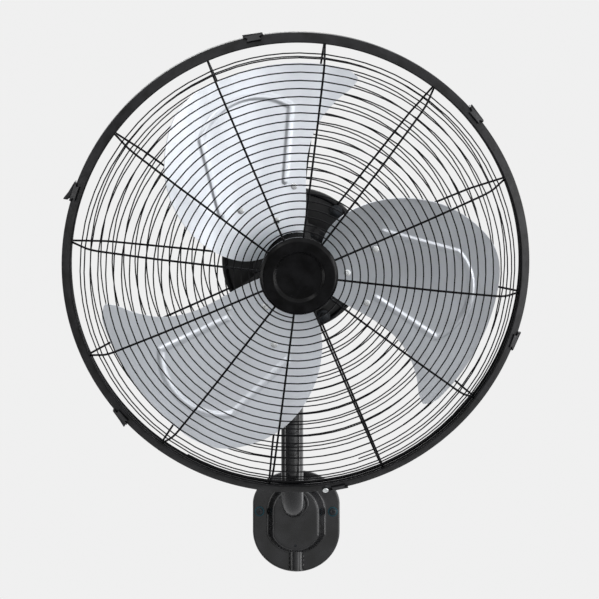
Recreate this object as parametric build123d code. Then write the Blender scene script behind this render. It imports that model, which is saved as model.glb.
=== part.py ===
from build123d import *
from math import atan2, cos, pi, radians, sin, tan
import os

# Wall mounted fan with three stamped aluminium blades in a wire cage.
#
# Millimetres and degrees.  +Z is up, the wall is the plane Y = 0 and the fan faces -Y.
# The origin is midway between the two wall screws, on the wall.
#
# Three frames are used:
#   bracket  the frame of the part: plate, elbow tube and clamp
#   swivel   Z along the tube, turned by head_pan
#   head     origin in the middle of the cage's rim, air blows along -Y; "w" is the distance
#            in front of the rim plane (w = -Y) and "r" the distance from the motor axis

os.makedirs("parts", exist_ok=True)

# ---------------------------------------------------------------- fits
running_gap = 0.05      # radial, shaft in bearing and pin in hole
slip_gap = 0.2          # radial or side play of parts that turn by hand
hole_flats = 12         # flats round the clearance holes of small pins
seat_gap = 0.05         # between faces that are pressed or clamped together
wire_gap = 0.1          # between crossing wires

# ---------------------------------------------------------------- pose in which it is set
head_pan = 5.6          # to the viewer's right
head_tilt = 11.7        # front down

# ---------------------------------------------------------------- wall plate
plate_w = 114.0
plate_top = 54.0        # above the screws
plate_bottom = 79.0     # below the screws
plate_side_top = 10.0   # where the straight sides end
plate_side_bottom = 25.0
plate_t = 2.0
skirt_h = 8.0           # wall to front of the flange
boss_w = 75.0
boss_top = 38.0
boss_side_bottom = 30.0
boss_point = 54.0
boss_h = 26.0           # wall to front of the boss
boss_plateau_w = 59.0      # flat top of the boss
channel_r = 9.5         # half round passage for a cord below the boss
screw_spacing = 96.0
screw_d = 5.0
screw_hole_d = 6.5
screw_head_d = 9.6
screw_head_h = 2.8
screw_reach = 40.0      # into the wall
washer_d = 13.0
washer_t = 1.4
drain_hole_d = 3.5
drain_hole_drop = 43.0

# ---------------------------------------------------------------- elbow tube and its fixing
tube_d = 28.0
tube_wall = 2.0
tube_height = 12.0      # axis above the screws where it leaves the wall
wall_to_tube = 110.0    # wall to the upright axis
bend_r = 42.0
tube_top = 214.0
backing_w = 36.0        # plate welded on the tube inside the boss
backing_h = 50.0
backing_drop = 19.0
backing_t = 3.0
flange_d = 35.0
flange_h = 5.0
slot_w = 3.0            # saw cut in the top of the tube under the clamp
slot_l = 30.0

# ---------------------------------------------------------------- swivel
bush_wall = 1.3
bush_l = 62.0
bush_stand = 2.0        # bush above the top of the tube
clamp_w = 16.0
clamp_t = 4.0
clamp_ear = 24.0
clamp_ear_t = 4.0
clamp_gap = 5.0         # between the clamp's ears
clamp_drop = 9.0        # top of the tube to top of the clamp
clamp_screw_d = 6.0
knob_d = 15.0
knob_l = 15.0
yoke_w = 44.0
yoke_depth = 28.0
yoke_t = 4.0
pivot_height = 250.6    # tilt axis above the screws
pivot_bolt_d = 8.0
pivot_head_af = 13.0
pivot_head_h = 5.3
wing_w = 28.0           # grips of the two hand knobs
wing_t = 5.0

# ---------------------------------------------------------------- motor
pivot_to_rim = 95.0     # tilt axis behind the rim plane
pivot_drop = 88.0       # tilt axis below the motor axis
motor_r = 68.0
motor_wall = 2.5
motor_front = -47.2     # w of the front bell's face
motor_split = -70.0
motor_rear = -145.0
nose_r = 26.0
nose_w = -37.0
shaft_d = 12.0
shaft_front = 13.0
shaft_rear = -141.0
stator_bore = 84.0
stator_od = 2 * (motor_r - motor_wall) - 0.1
stator_l = 50.0
stator_mid = -104.0
air_gap = 0.5
rotor_extra = 2.0
core_sides = 24
pad_w = 44.0            # flat under the motor for the foot
pad_l = 44.0
pad_drop = 71.0         # motor axis to the flat
foot_t = 4.0

# ---------------------------------------------------------------- switch box behind the motor
box_w = 68.0
box_top = 12.0
box_bottom = -50.0
box_d = 25.0
box_wall = 2.2
lid_t = 2.4
dial_d = 24.0
dial_l = 15.0
dial_x = -15.0
gland_x = 16.0
gland_d = 15.0
gland_bore = 7.0
gland_l = 12.0
switch_d = 22.0
switch_l = 18.0

# ---------------------------------------------------------------- cage
rim_od = 570.0
rim_t = 2.0
rim_rear = -13.0
rim_web_front = 2.0
rim_front = 13.0
rim_front_lip = 10.5    # depth of the sloped front flange
rim_rear_lip = 9.0      # depth of the rear hem
ring_wire = 4.5         # wire of the outer rings
ring_sides = 36
rib_wire = 2.6
coil_wire = 1.6
coil_pitch = 9.5
coil_steps = 24         # straight lengths in one turn, a multiple of the ribs
rear_coil_pitch = 14.0
rib_count = 12
rib_angle = 23.5
front_coil_start_r = 51.6
front_first_pitch = 5.6
guard_shoulder = 35.0   # shoulder of the front guard from the band's outside
guard_shoulder_w = 43.0
rear_shoulder = 53.0
rear_shoulder_w = -30.0
crown_flat = 0.64       # share of the radius over which the front is nearly flat
rear_coil_start_r = 96.0
crown_w = 55.0          # middle of the front ribs at the cap
ring_inset = 7.6        # outer rings from the band's outside
front_ring_r = 42.0     # inner ring of the front guard
rear_ring_r = 85.0      # inner ring of the rear guard
inner_ring_wire = 4.0

# disc that carries the rear guard
disc_r = 90.0
disc_w = -45.0
disc_t = 2.0
disc_lip = 7.0
guard_bolt_r = 79.0
guard_bolt_angles = (51.0, 174.0, 297.5)
guard_bolt_d = 5.0
guard_bolt_af = 9.0
guard_washer_d = 16.0
guard_washer_t = 1.5
guard_nut_h = 3.6

# cap in the middle of the front guard
cap_d = 94.0
cap_front = 64.0
cap_recess_d = 55.0
cap_recess = 3.5
cap_edge = 4.0

# clips round the rim
clip_count = 6
clip_angle = 41.1
clip_l = 24.0
clip_t = 1.5
clip_pin_d = 2.0
clip_gap = 0.3
clip_reach = 5.4        # from the band's edge over its front
clip_tail_l = 14.0
clip_barrel_d = 4.4
clip_ear_t = 3.0

# ---------------------------------------------------------------- rotor
blade_count = 3
blade_first = 0.0       # angle of the first blade
blade_t = 1.5
blade_tip_r = 247.0
blade_camber_r = 714.0
blade_pitch = 12.0
blade_lean = -20.0      # direction of the bending line from the blade's own angle
blade_mid_w = 6.0
camber_sag = 10.0
root_r = 42.0
camber_offset = 8.5
bead_w = 7.0
bead_h = 2.2
arm_t = 2.5
arm_r = 110.0
arm_spread = 21.0
arm_angle = -6.9
hub_r = 36.0
hub_front = 9.0
hub_rear = -20.0
hub_flange_r = 53.0
hub_flange_t = 4.0

# ---------------------------------------------------------------- frames
swivel = Pos(0, -wall_to_tube, 0) * Rot(0, 0, head_pan)
head = swivel * Pos(0, 0, pivot_height) * Rot(head_tilt, 0, 0) * Pos(0, -pivot_to_rim, pivot_drop)
bracket_top = Pos(0, -wall_to_tube, 0)
to_front = Rot(90, 0, 0)        # lays a shape drawn on the floor upright, its top to the front


def at(angle):
    """Turn about the motor axis: anticlockwise as seen from the front, 0 = right."""
    return Rot(0, -angle, 0)


def polar(r, angle, w=0.0):
    """Point of the head frame from radius, angle and distance in front of the rim."""
    return Vector(r * cos(radians(angle)), -w, r * sin(radians(angle)))


def turned(*points):
    """Solid of revolution about the motor axis from (r, w) points."""
    outline = Polyline(*[(r, -w) for r, w in points], close=True)
    return revolve(make_face(outline), Axis.Y)


def tube_ring(r_in, r_out, w_low, w_high):
    return turned((r_in, w_low), (r_out, w_low), (r_out, w_high), (r_in, w_high))


def along_axis(radius, w_low, w_high, r=0.0, angle=0.0):
    """Cylinder parallel to the motor axis at (r, angle)."""
    return Pos(*polar(r, angle, (w_low + w_high) / 2)) * to_front * Cylinder(radius, w_high - w_low)


def across(radius, length):
    """Cylinder along X."""
    return Rot(0, 90, 0) * Cylinder(radius, length)


def prism(radius, height, flats=6, middle=0.0):
    """Upright prism whose flats lie on the radius, centred on a height."""
    base = RegularPolygon(radius, flats, major_radius=False)
    return Pos(0, 0, middle - height / 2) * extrude(base, height, dir=(0, 0, 1))


def flat_hole(radius, length):
    """Cutter along X for a hole that clears a round pin, with flats in place of a wall."""
    return Rot(0, 90, 0) * prism(radius, length, hole_flats)


nodes = {}


def add(name, shape, frame=None):
    """Keep a piece under its name, moved from its own frame to the part's frame."""
    nodes[name] = frame * shape if frame else shape


# ================================================================ wall plate
def plate_outline(inset=0.0):
    """Oval of the flange: straight sides, rounder above than below."""
    half = plate_w / 2 - inset
    above = plate_top - plate_side_top - inset
    below = plate_bottom - plate_side_bottom - inset
    edge = Line((-half, -plate_side_bottom), (-half, plate_side_top))
    edge += EllipticalCenterArc((0, plate_side_top), half, above, start_angle=0, arc_size=180)
    edge += Line((half, plate_side_top), (half, -plate_side_bottom))
    edge += EllipticalCenterArc((0, -plate_side_bottom), half, below, start_angle=180, arc_size=180)
    return make_face(edge)


def boss_outline(width, inset=0.0):
    """Shield of the boss: round top, straight sides and a blunt point below."""
    half = width / 2 - inset
    lift = (boss_w - width) / 2 + inset
    shoulder = boss_top - boss_w / 2
    knee = -boss_side_bottom
    point = -boss_point + lift * 0.6
    low = knee * 0.36 + point * 0.64
    edge = Line((-half, knee), (-half, shoulder))
    edge += ThreePointArc((-half, shoulder), (0, shoulder + half), (half, shoulder))
    edge += Line((half, shoulder), (half, knee))
    edge += ThreePointArc((half, knee), (half * 0.68, low), (0, point))
    edge += ThreePointArc((0, point), (-half * 0.68, low), (-half, knee))
    return make_face(edge)


def pressing(inset):
    """Solid under the pressed sheet's outer face, or under its inner face when inset."""
    skirt = extrude(plate_outline(inset), skirt_h - inset, dir=(0, 0, 1))
    foot = Pos(0, 0, skirt_h - inset - 0.5) * boss_outline(boss_w, inset)
    top = Pos(0, 0, boss_h - inset) * boss_outline(boss_plateau_w, inset)
    boss = loft([foot, top], ruled=True)
    end = -plate_bottom + 1.5 + inset
    length = plate_bottom - boss_point + 10
    ridge = Pos(0, end + length / 2, skirt_h - 1.5) * Rot(90, 0, 0) * Cylinder(channel_r - inset, length)
    ridge &= Pos(0, 0, 50) * Box(400, 400, 100)
    return to_front * (skirt + boss + ridge)


def wall_plate():
    plate = pressing(0.0) - pressing(plate_t)
    for side in (-1, 1):
        plate -= along_axis(screw_hole_d / 2, 0, 12, screw_spacing / 2 * side)
    plate -= Pos(0, 0, -drain_hole_drop) * to_front * prism(drain_hole_d / 2, 30, 8, boss_h)
    plate -= Pos(0, 0, tube_height) * along_axis(tube_d / 2 + seat_gap, 10, 40)
    return plate


def wall_screws():
    front = skirt_h + seat_gap + washer_t + seat_gap
    shank, neck, cap = screw_d / 2, screw_d / 2 + 0.1, screw_head_d / 2
    neck_low = skirt_h - plate_t - 1
    screw = turned((0, -screw_reach), (shank, -screw_reach), (shank, neck_low), (0, neck_low))
    screw += to_front * prism(neck, front - neck_low, 24, (front + neck_low) / 2)
    screw += to_front * prism(cap, screw_head_h, 24, front + screw_head_h / 2)
    return Compound([Pos(side * screw_spacing / 2, 0, 0) * screw for side in (-1, 1)])


def wall_washers():
    middle = skirt_h + seat_gap + washer_t / 2
    hole = screw_d / 2 + 0.1 + slip_gap
    ring = to_front * (prism(washer_d / 2, washer_t, 16, middle) - prism(hole, 2 * washer_t, 16, middle))
    return Compound([Pos(side * screw_spacing / 2, 0, 0) * ring for side in (-1, 1)])


# ================================================================ elbow tube
tube_end = boss_h - plate_t - seat_gap      # front of the plate welded on the tube's end


def neck_tube():
    """Tube that leaves the boss, turns up and stands in front of the wall."""
    r = tube_d / 2
    level = Pos(0, 0, tube_height) * along_axis(r, tube_end - backing_t, wall_to_tube - bend_r)
    section = Plane.XZ.offset(wall_to_tube - bend_r) * Pos(0, tube_height) * Circle(r)
    pivot = Axis((0, -wall_to_tube + bend_r, tube_height + bend_r), (1, 0, 0))
    bend = revolve(section, pivot, -90)
    low = tube_height + bend_r
    upright = Pos(0, -wall_to_tube, (low + tube_top) / 2) * Cylinder(r, tube_top - low)
    bore = Pos(0, -wall_to_tube, (low + 4 + tube_top) / 2) * Cylinder(r - tube_wall, tube_top - low - 4)
    slot = Pos(0, -wall_to_tube + r, tube_top - slot_l / 2) * Box(slot_w, 2 * r, slot_l)
    middle = Pos(0, -tube_end + backing_t / 2, tube_height - backing_drop)
    backing = middle * Box(backing_w, backing_t, backing_h)
    return level + bend + upright + backing - bore - slot


def tube_flange():
    """Collar round the tube on the front of the boss."""
    low = boss_h + seat_gap
    return Pos(0, 0, tube_height) * tube_ring(tube_d / 2 + seat_gap, flange_d / 2, low, low + flange_h)


# ================================================================ swivel
bush_r = tube_d / 2 - tube_wall - seat_gap
stem_r = bush_r - bush_wall - running_gap
yoke_floor = tube_top + bush_stand + seat_gap
clamp_z = tube_top - clamp_drop - clamp_w / 2
clamp_r = tube_d / 2 + seat_gap + clamp_t
clamp_screw_y = clamp_r + clamp_ear / 2
ear_face = clamp_gap / 2 + clamp_ear_t


def tube_bush():
    middle = tube_top + bush_stand - bush_l / 2
    return Pos(0, 0, middle) * (Cylinder(bush_r, bush_l) - Cylinder(bush_r - bush_wall, bush_l))


def clamp_collar():
    """Split ring with two ears that closes the slotted tube on the bush."""
    ring = Cylinder(clamp_r, clamp_w)
    depth = clamp_r + clamp_ear
    ring += Pos(0, depth / 2, 0) * Box(2 * ear_face, depth, clamp_w)
    ring -= Cylinder(tube_d / 2 + seat_gap, clamp_w)
    ring -= Pos(0, depth / 2, 0) * Box(clamp_gap, depth, clamp_w)
    ring -= Pos(0, clamp_screw_y, 0) * flat_hole(clamp_screw_d / 2 + running_gap, 60)
    return Pos(0, 0, clamp_z) * ring


def clamp_screw():
    """Square headed screw through the ears; its other end is inside the knob."""
    grip = 2 * ear_face + slip_gap + knob_l * 0.6
    shank = Pos(-ear_face + grip / 2, 0, 0) * across(clamp_screw_d / 2, grip)
    square = Pos(-ear_face - seat_gap - 2, 0, 0) * Box(4, 10, 10)
    neck = Pos(-ear_face - 1, 0, 0) * across(clamp_screw_d / 2, 2)
    return Pos(0, clamp_screw_y, clamp_z) * (shank + neck + square)


def wing_knob(bore):
    """Hand knob along +X from x = 0: a fluted body with a flat grip, on a blind bore."""
    body = Pos(knob_l / 2, 0, 0) * flat_hole(knob_d / 2, knob_l)
    body += Pos(knob_l * 0.62, 0, 0) * Box(knob_l * 0.76, wing_t, wing_w)
    return body - Pos(knob_l * 0.35, 0, 0) * flat_hole(bore, knob_l * 0.7)


def clamp_knob():
    knob = wing_knob(clamp_screw_d / 2 + running_gap)
    return Pos(ear_face + slip_gap, clamp_screw_y, clamp_z) * knob


def tilt_yoke():
    """Turned stem that drops into the bush, with the forked bracket welded on its top."""
    stem_l = bush_l - 6
    yoke = Pos(0, 0, yoke_floor - stem_l / 2) * Cylinder(stem_r, stem_l)
    yoke += Pos(0, 0, yoke_floor + yoke_t / 2) * Box(yoke_w, yoke_depth, yoke_t)
    rise = pivot_height + yoke_depth / 2 - 2 - yoke_floor
    for side in (-1, 1):
        yoke += Pos(side * (yoke_w - yoke_t) / 2, 0, yoke_floor + rise / 2) * Box(yoke_t, yoke_depth, rise)
    return yoke - Pos(0, 0, pivot_height) * flat_hole(pivot_bolt_d / 2 + running_gap, 2 * yoke_w)


def tilt_bolt():
    face = yoke_w / 2 + seat_gap
    length = 2 * face + slip_gap + knob_l * 0.6
    bolt = Pos(-face + length / 2, 0, 0) * across(pivot_bolt_d / 2, length)
    bolt += Pos(-face - pivot_head_h / 2, 0, 0) * Rot(0, 90, 0) * prism(pivot_head_af / 2, pivot_head_h)
    return Pos(0, 0, pivot_height) * bolt


def tilt_knob():
    knob = wing_knob(pivot_bolt_d / 2 + running_gap)
    return Pos(yoke_w / 2 + slip_gap, 0, pivot_height) * knob


# ================================================================ motor
pivot_y = pivot_to_rim
foot_w = yoke_w - 2 * yoke_t - 2 * slip_gap


def motor_foot():
    """Channel bolted under the motor; its cheeks turn on the tilt bolt inside the yoke."""
    top = -pad_drop - seat_gap
    bottom = -pivot_drop - yoke_depth / 2 + 2
    cheek_l = yoke_depth - 2
    foot = Pos(0, pivot_y, top - foot_t / 2) * Box(foot_w, pad_l, foot_t)
    for side in (-1, 1):
        x = side * (foot_w - foot_t) / 2
        foot += Pos(x, pivot_y, (top + bottom) / 2) * Box(foot_t, cheek_l, top - bottom)
    return foot - Pos(0, pivot_y, -pivot_drop) * flat_hole(pivot_bolt_d / 2 + running_gap, 2 * yoke_w)


shaft_r = shaft_d / 2
bore_r = shaft_r + running_gap


def motor_front_bell():
    inner = motor_r - motor_wall
    back = motor_front - motor_wall
    return turned((bore_r, nose_w), (nose_r, nose_w), (nose_r, motor_front), (motor_r, motor_front),
                  (motor_r, motor_split), (inner, motor_split), (inner, back), (bore_r, back))


def motor_rear_bell():
    """Rear half of the housing with a blind bearing and a flat pad for the foot."""
    inner = motor_r - motor_wall
    face = motor_rear + 12
    blind = shaft_rear - 0.5
    top = motor_split - seat_gap
    bell = turned((0, motor_rear), (motor_r - 8, motor_rear), (motor_r, motor_rear + 8), (motor_r, top),
                  (inner, top), (inner, face), (bore_r, face), (bore_r, blind), (0, blind))
    pad_h = pad_drop - 40
    pad = Pos(0, pivot_y, -pad_drop + pad_h / 2) * Box(pad_w, pad_l, pad_h)
    return bell + (pad - along_axis(motor_r - 1, -200, 0))


def core(corner_r, bore_flat_r, length):
    """Stack of laminations with flat sides in place of round ones, closed inside the housing."""
    outer = RegularPolygon(corner_r, core_sides)
    inner = RegularPolygon(bore_flat_r, core_sides, major_radius=False)
    return Pos(0, -stator_mid + length / 2, 0) * to_front * extrude(outer - inner, length, dir=(0, 0, 1))


def stator():
    """Core with its windings, pressed into the housing."""
    return core(stator_od / 2, stator_bore / 2, stator_l)


def rotor_core():
    return core(stator_bore / 2 - air_gap, bore_r, stator_l + 2 * rotor_extra)


def motor_shaft():
    return along_axis(shaft_r, shaft_rear, shaft_front)


# ================================================================ switch box behind the motor
box_y = -motor_rear + seat_gap      # its front rests on the rear bell
box_back = box_y + box_d
box_mid_z = (box_top + box_bottom) / 2
box_h = box_top - box_bottom


def switch_box():
    hollow = Box(box_w - 2 * box_wall, box_d, box_h - 2 * box_wall)
    box = Box(box_w, box_d, box_h) - Pos(0, box_wall, 0) * hollow
    box = Pos(0, box_y + box_d / 2, box_mid_z) * box
    for x, radius in ((dial_x, spindle_r + running_gap), (gland_x, gland_neck_r + running_gap)):
        box -= Pos(x, box_y + box_d / 2, box_bottom) * prism(radius, 10, hole_flats)
    return box


def switch_lid():
    lid = Pos(0, box_back + seat_gap + lid_t / 2, box_mid_z) * Box(box_w, lid_t, box_h)
    spigot = Box(box_w - 2 * box_wall - 0.2, 3, box_h - 2 * box_wall - 0.2)
    return lid + Pos(0, box_back + seat_gap - 1.5, box_mid_z) * spigot


spindle_r = 3.0
gland_neck_r = gland_d / 2 - 2.5


def rotary_switch():
    """Stepped switch that fills the box from its front wall to its floor."""
    bottom = box_bottom + box_wall + seat_gap
    depth = box_d - box_wall - 3 - 2 * seat_gap
    y = box_y + box_wall + seat_gap + depth / 2
    return Pos(dial_x, y, bottom + switch_l / 2) * Box(switch_d, depth, switch_l)


def speed_knob():
    """Knob under the box with its spindle up into the wall; a rib shows the setting."""
    top = box_bottom - slip_gap
    knob = prism(dial_d / 2, dial_l, hole_flats, top - dial_l / 2)
    knob += Pos(0, 0, top - dial_l - 1.5) * Box(dial_d - 5, 5, 4)
    knob += Pos(0, 0, (top + box_bottom + box_wall) / 2) * Cylinder(spindle_r, box_wall + slip_gap)
    return Pos(dial_x, box_y + box_d / 2, 0) * knob


def cord_gland():
    """Bush in the floor of the box where a cord would leave; its bore stays empty."""
    nut = prism(gland_d / 2, gland_l - seat_gap, 6, -(gland_l + seat_gap) / 2)
    neck = prism(gland_neck_r, box_wall + 2, hole_flats, box_wall / 2)
    return Pos(gland_x, box_y + box_d / 2, box_bottom) * (nut + neck - Cylinder(gland_bore / 2, 3 * gland_l))


# ================================================================ disc that carries the rear guard
def guard_disc():
    """Stamped disc in front of the motor with a lip turned back at its edge."""
    back = disc_w - disc_t
    bore = nose_r + 0.3
    inside, lip = disc_r - disc_t, disc_w - disc_lip
    disc = turned((bore, disc_w), (disc_r, disc_w), (disc_r, lip), (inside, lip), (inside, back), (bore, back))
    hole = to_front * prism(guard_bolt_d / 2 + running_gap, 3 * disc_t, 6, disc_w)
    for angle in guard_bolt_angles:
        disc -= at(angle) * Pos(guard_bolt_r, 0, 0) * hole
    return disc


inner_ring_low = disc_w + seat_gap
inner_ring_high = inner_ring_low + inner_ring_wire


def guard_bolts():
    """Bolts that stop themselves from turning, with washers over the guard's inner ring."""
    face = inner_ring_high + seat_gap
    top = face + guard_washer_t + guard_nut_h
    low = disc_w - disc_t - 1.5
    bolt = prism(guard_bolt_d / 2, top - low, 6, (top + low) / 2)
    bolt += prism(guard_washer_d / 2, guard_washer_t, 24, face + guard_washer_t / 2)
    bolt += prism(guard_bolt_af / 2, guard_nut_h, 6, top - guard_nut_h / 2)
    return Compound([at(angle) * Pos(guard_bolt_r, 0, 0) * to_front * bolt for angle in guard_bolt_angles])


# ================================================================ wire guards
rim_r = rim_od / 2
slope = atan2(rim_front - rim_web_front, rim_front_lip)
outer_ring_r = rim_r - ring_inset - ring_wire
rib_side = rib_wire * 0.9               # square sections with about the area of the round wire
coil_side = coil_wire * 1.15            # triangles, likewise
rib_end_r = outer_ring_r - rib_side / 2 - wire_gap
flange_over_ring = rim_web_front + ring_inset * tan(slope) - rim_t / cos(slope)
front_ring_low = flange_over_ring - 2 * seat_gap - ring_wire      # trapped behind the sloped flange
rear_ring_low = rim_rear + rim_t + seat_gap


def front_meridian():
    """Rib line of the front guard in (r, -w): a flat crown, a shoulder and a steep side."""
    return FilletPolyline((front_ring_r - 3, -crown_w), (crown_flat * rib_end_r, 2 - crown_w),
                          (rim_r - guard_shoulder, -guard_shoulder_w), (rib_end_r, -front_ring_low - 1),
                          radius=[1.5 * rim_r, 0.75 * guard_shoulder])


def rear_meridian():
    """Rib line of the rear guard: a shallow dish that runs down to the motor's disc."""
    start = rear_ring_r + inner_ring_wire / 2 + rib_side / 2 + wire_gap
    middle = (inner_ring_low + inner_ring_high) / 2
    return FilletPolyline((start, -middle), (rim_r - rear_shoulder, -rear_shoulder_w),
                          (rib_end_r, -rear_ring_low - 2), radius=0.55 * rear_shoulder)


def on_meridian(line, length, outward):
    """Radius, depth and outward normal of a point at a length along a meridian."""
    u = min(max(length / line.length, 0.0), 1.0)
    point, tangent = line @ u, line % u
    normal = Vector(-tangent.Y, tangent.X)
    if normal.Y * outward > 0:
        normal = -normal
    return point.X, -point.Y, normal.X, -normal.Y


def bent_wire(points, faces, side, corners):
    """Wire through points as one ruled loft of small polygons that look the way of faces."""
    sections = []
    last = len(points) - 1
    radius = side / 2 / sin(pi / corners)
    turns = [2 * pi * (k + 0.5) / corners - pi / 2 for k in range(corners)]
    for i, (point, face) in enumerate(zip(points, faces)):
        ahead = (points[min(i + 1, last)] - points[max(i - 1, 0)]).normalized()
        beside = ahead.cross(face).normalized()
        top = beside.cross(ahead).normalized()
        ring = [point + beside * (radius * cos(a)) + top * (radius * sin(a)) for a in turns]
        sections.append(Wire.make_polygon(ring, close=True))
    return Solid.make_loft(sections, ruled=True)


def guard_ribs(line, outward, lengths):
    """Radial wires that follow the meridian."""
    points, faces = [], []
    for length in lengths:
        r, w, nr, nw = on_meridian(line, length, outward)
        points.append(polar(r, 0, w))
        faces.append(polar(nr, 0, nw))
    rib = bent_wire(points, faces, rib_side, 4)
    return [at(rib_angle + 360 / rib_count * k) * rib for k in range(rib_count)]


def guard_coil(line, outward, start, end, first_pitch, pitch):
    """One wire wound in a spiral over the ribs, clockwise as seen from the front."""
    lift = rib_side / 2 + wire_gap + coil_side * 0.29
    turns = 1 + (end - start - first_pitch) / pitch

    def spot(t):
        length = start + first_pitch * min(t, 1.0) + pitch * max(t - 1.0, 0.0)
        r, w, nr, nw = on_meridian(line, length, outward)
        angle = rib_angle + 240 - 360 * t
        return polar(r + lift * nr, angle, w + lift * nw), polar(nr, angle, nw)

    steps = [i / coil_steps for i in range(int(turns * coil_steps) + 1)]
    spots = [spot(t) for t in steps]
    least = min((spot(t + 1)[0] - spot(t)[0]).length for t in steps if t + 1 <= turns)
    print(f"spiral of {turns:.1f} turns, least gap to itself {least - coil_side:.2f} mm")
    return bent_wire([point for point, _ in spots], [face for _, face in spots], coil_side, 3)


def polygon_ring(r_in, side, w_low, corners):
    """Square wire bent to a ring of straight lengths, with corners at the ribs."""
    outer = RegularPolygon(r_in + side, corners, rotation=rib_angle)
    inner = RegularPolygon(r_in, corners, rotation=rib_angle)
    return Pos(0, -w_low, 0) * to_front * extrude(outer - inner, side, dir=(0, 0, 1))


front_line = front_meridian()
rear_line = rear_meridian()


def front_ribs():
    whole = front_line.length
    shares = (0, 0.31, 0.54, 0.78, 1 - 48 / whole, 1 - 38 / whole, 1)
    return Compound(guard_ribs(front_line, 1, [share * whole for share in shares]))


def front_spiral():
    start = front_coil_start_r - (front_line @ 0).X
    return guard_coil(front_line, 1, start, front_line.length - 16, front_first_pitch, coil_pitch)


def front_rings():
    inner_low = crown_w - rib_side / 2 - wire_gap - inner_ring_wire
    return Compound([polygon_ring(outer_ring_r, ring_wire, front_ring_low, ring_sides),
                     polygon_ring(front_ring_r - 3, inner_ring_wire, inner_low, rib_count * 2)])


def rear_ribs():
    whole = rear_line.length
    return Compound(guard_ribs(rear_line, -1, [0, whole - 58, whole - 42, whole - 26, whole]))


def rear_spiral():
    start = rear_coil_start_r - (rear_line @ 0).X
    return guard_coil(rear_line, -1, start, rear_line.length - 14, rear_coil_pitch, rear_coil_pitch)


def rear_rings():
    return Compound([polygon_ring(outer_ring_r, ring_wire, rear_ring_low, ring_sides),
                     polygon_ring(rear_ring_r - inner_ring_wire / 2, inner_ring_wire, inner_ring_low,
                                  rib_count * 2)])


# ================================================================ rim band and clips
clip_pivot_r = rim_r + clip_gap - clip_barrel_d / 2 + 0.3
clip_pivot_w = rim_rear - clip_barrel_d / 2 - 2 * seat_gap - clip_gap


def clip_angle_of(k):
    return clip_angle + 360 / clip_count * k


def rim_band():
    """Rolled channel round the outer rings of both guards, with an ear pair and pin per clip."""
    t = rim_t
    nx, nw = t * sin(slope), t * cos(slope)
    knee = rim_web_front - t * tan((pi / 2 - slope) / 2)
    rim_rear_r, rim_front_r = rim_r - rim_rear_lip, rim_r - rim_front_lip
    band = turned((rim_rear_r, rim_rear), (rim_r, rim_rear), (rim_r, rim_web_front), (rim_front_r, rim_front),
                  (rim_front_r - nx, rim_front - nw), (rim_r - t, knee), (rim_r - t, rim_rear + t),
                  (rim_rear_r, rim_rear + t))
    for k in range(clip_count):
        ear_z = clip_tail_l / 2 + slip_gap + clip_ear_t / 2
        low = clip_pivot_w - clip_barrel_d / 2
        ear = Box(clip_barrel_d - 1, rim_rear + 0.5 - low, clip_ear_t)
        for side in (-1, 1):
            place = Pos(clip_pivot_r - 0.4, -(rim_rear + 0.5 + low) / 2, side * ear_z)
            band += at(clip_angle_of(k)) * place * ear
        pin = RegularPolygon(clip_pin_d / 2, 8)
        pin = Pos(0, 0, -ear_z) * extrude(pin, 2 * ear_z, dir=(0, 0, 1))
        band += at(clip_angle_of(k)) * Pos(clip_pivot_r, -clip_pivot_w, 0) * pin
    return band


def barrel_outline():
    """End of the clip's rolled eye: round on its free side, flat towards the band."""
    r = clip_barrel_d / 2
    x, y = r * sin(radians(40)), r * cos(radians(40))
    eye = ThreePointArc((-x, y), (-r, 0), (-x, -y))
    eye += Polyline((-x, -y), (r * 0.4, -r), (r, -r), (r, r), (r * 0.4, r), (-x, y))
    return make_face(eye)


def clip():
    """Bent latch that turns on the band's pin and reaches over its edge."""
    skin = rim_r + clip_gap
    out_r, out_w = sin(slope), cos(slope)
    down_r, down_w = -cos(slope), sin(slope)
    bend = tan((pi / 2 - slope) / 2)
    knee = (skin, rim_web_front + clip_gap * bend)
    reach = clip_reach / cos(slope)
    tip = (knee[0] + reach * down_r, knee[1] + reach * down_w)
    tip_out = (tip[0] + clip_t * out_r, tip[1] + clip_t * out_w)
    knee_out = (skin + clip_t, rim_web_front + (clip_gap + clip_t) * bend)
    end = rim_rear + 0.2
    corners = (skin, end), (skin + clip_t, end), knee_out, tip_out, tip, knee
    strip = Polyline(*[(r, -w) for r, w in corners], close=True)
    body = extrude(make_face(strip), clip_l / 2, both=True)
    for side in (-1, 1):
        body -= Pos(tip[0], -tip_out[1], side * clip_l / 2) * Rot(0, side * 30, 0) * Box(12, 12, 5)
    low = clip_pivot_w - clip_barrel_d / 2
    tail = Polyline(*[(r, -w) for r, w in ((skin, end), (skin + clip_t, end), (skin + clip_t, low + 1.2),
                      (skin, low), (clip_pivot_r, low), (clip_pivot_r, clip_pivot_w))], close=True)
    body += extrude(make_face(tail), clip_tail_l / 2, both=True)
    pivot = Pos(clip_pivot_r, -clip_pivot_w, 0)
    body += pivot * Pos(0, 0, -clip_tail_l / 2) * extrude(barrel_outline(), clip_tail_l, dir=(0, 0, 1))
    return body - pivot * prism(clip_pin_d / 2 + running_gap, clip_l, 8)


# ================================================================ cap
def front_cap():
    """Moulded cap in front of the ribs: a raised outer ring round a sunken middle."""
    back = crown_w + rib_side / 2 + seat_gap
    r, hole = cap_d / 2, cap_recess_d / 2
    return turned((0, back), (r, back), (r, cap_front - cap_edge), (r - cap_edge, cap_front),
                  (hole + cap_recess, cap_front), (hole, cap_front - cap_recess), (0, cap_front - cap_recess))


def cap_backing():
    high = crown_w - rib_side / 2 - wire_gap - inner_ring_wire - 2 * seat_gap
    return along_axis(front_ring_r + 2, high - 1.5, high)


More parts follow.
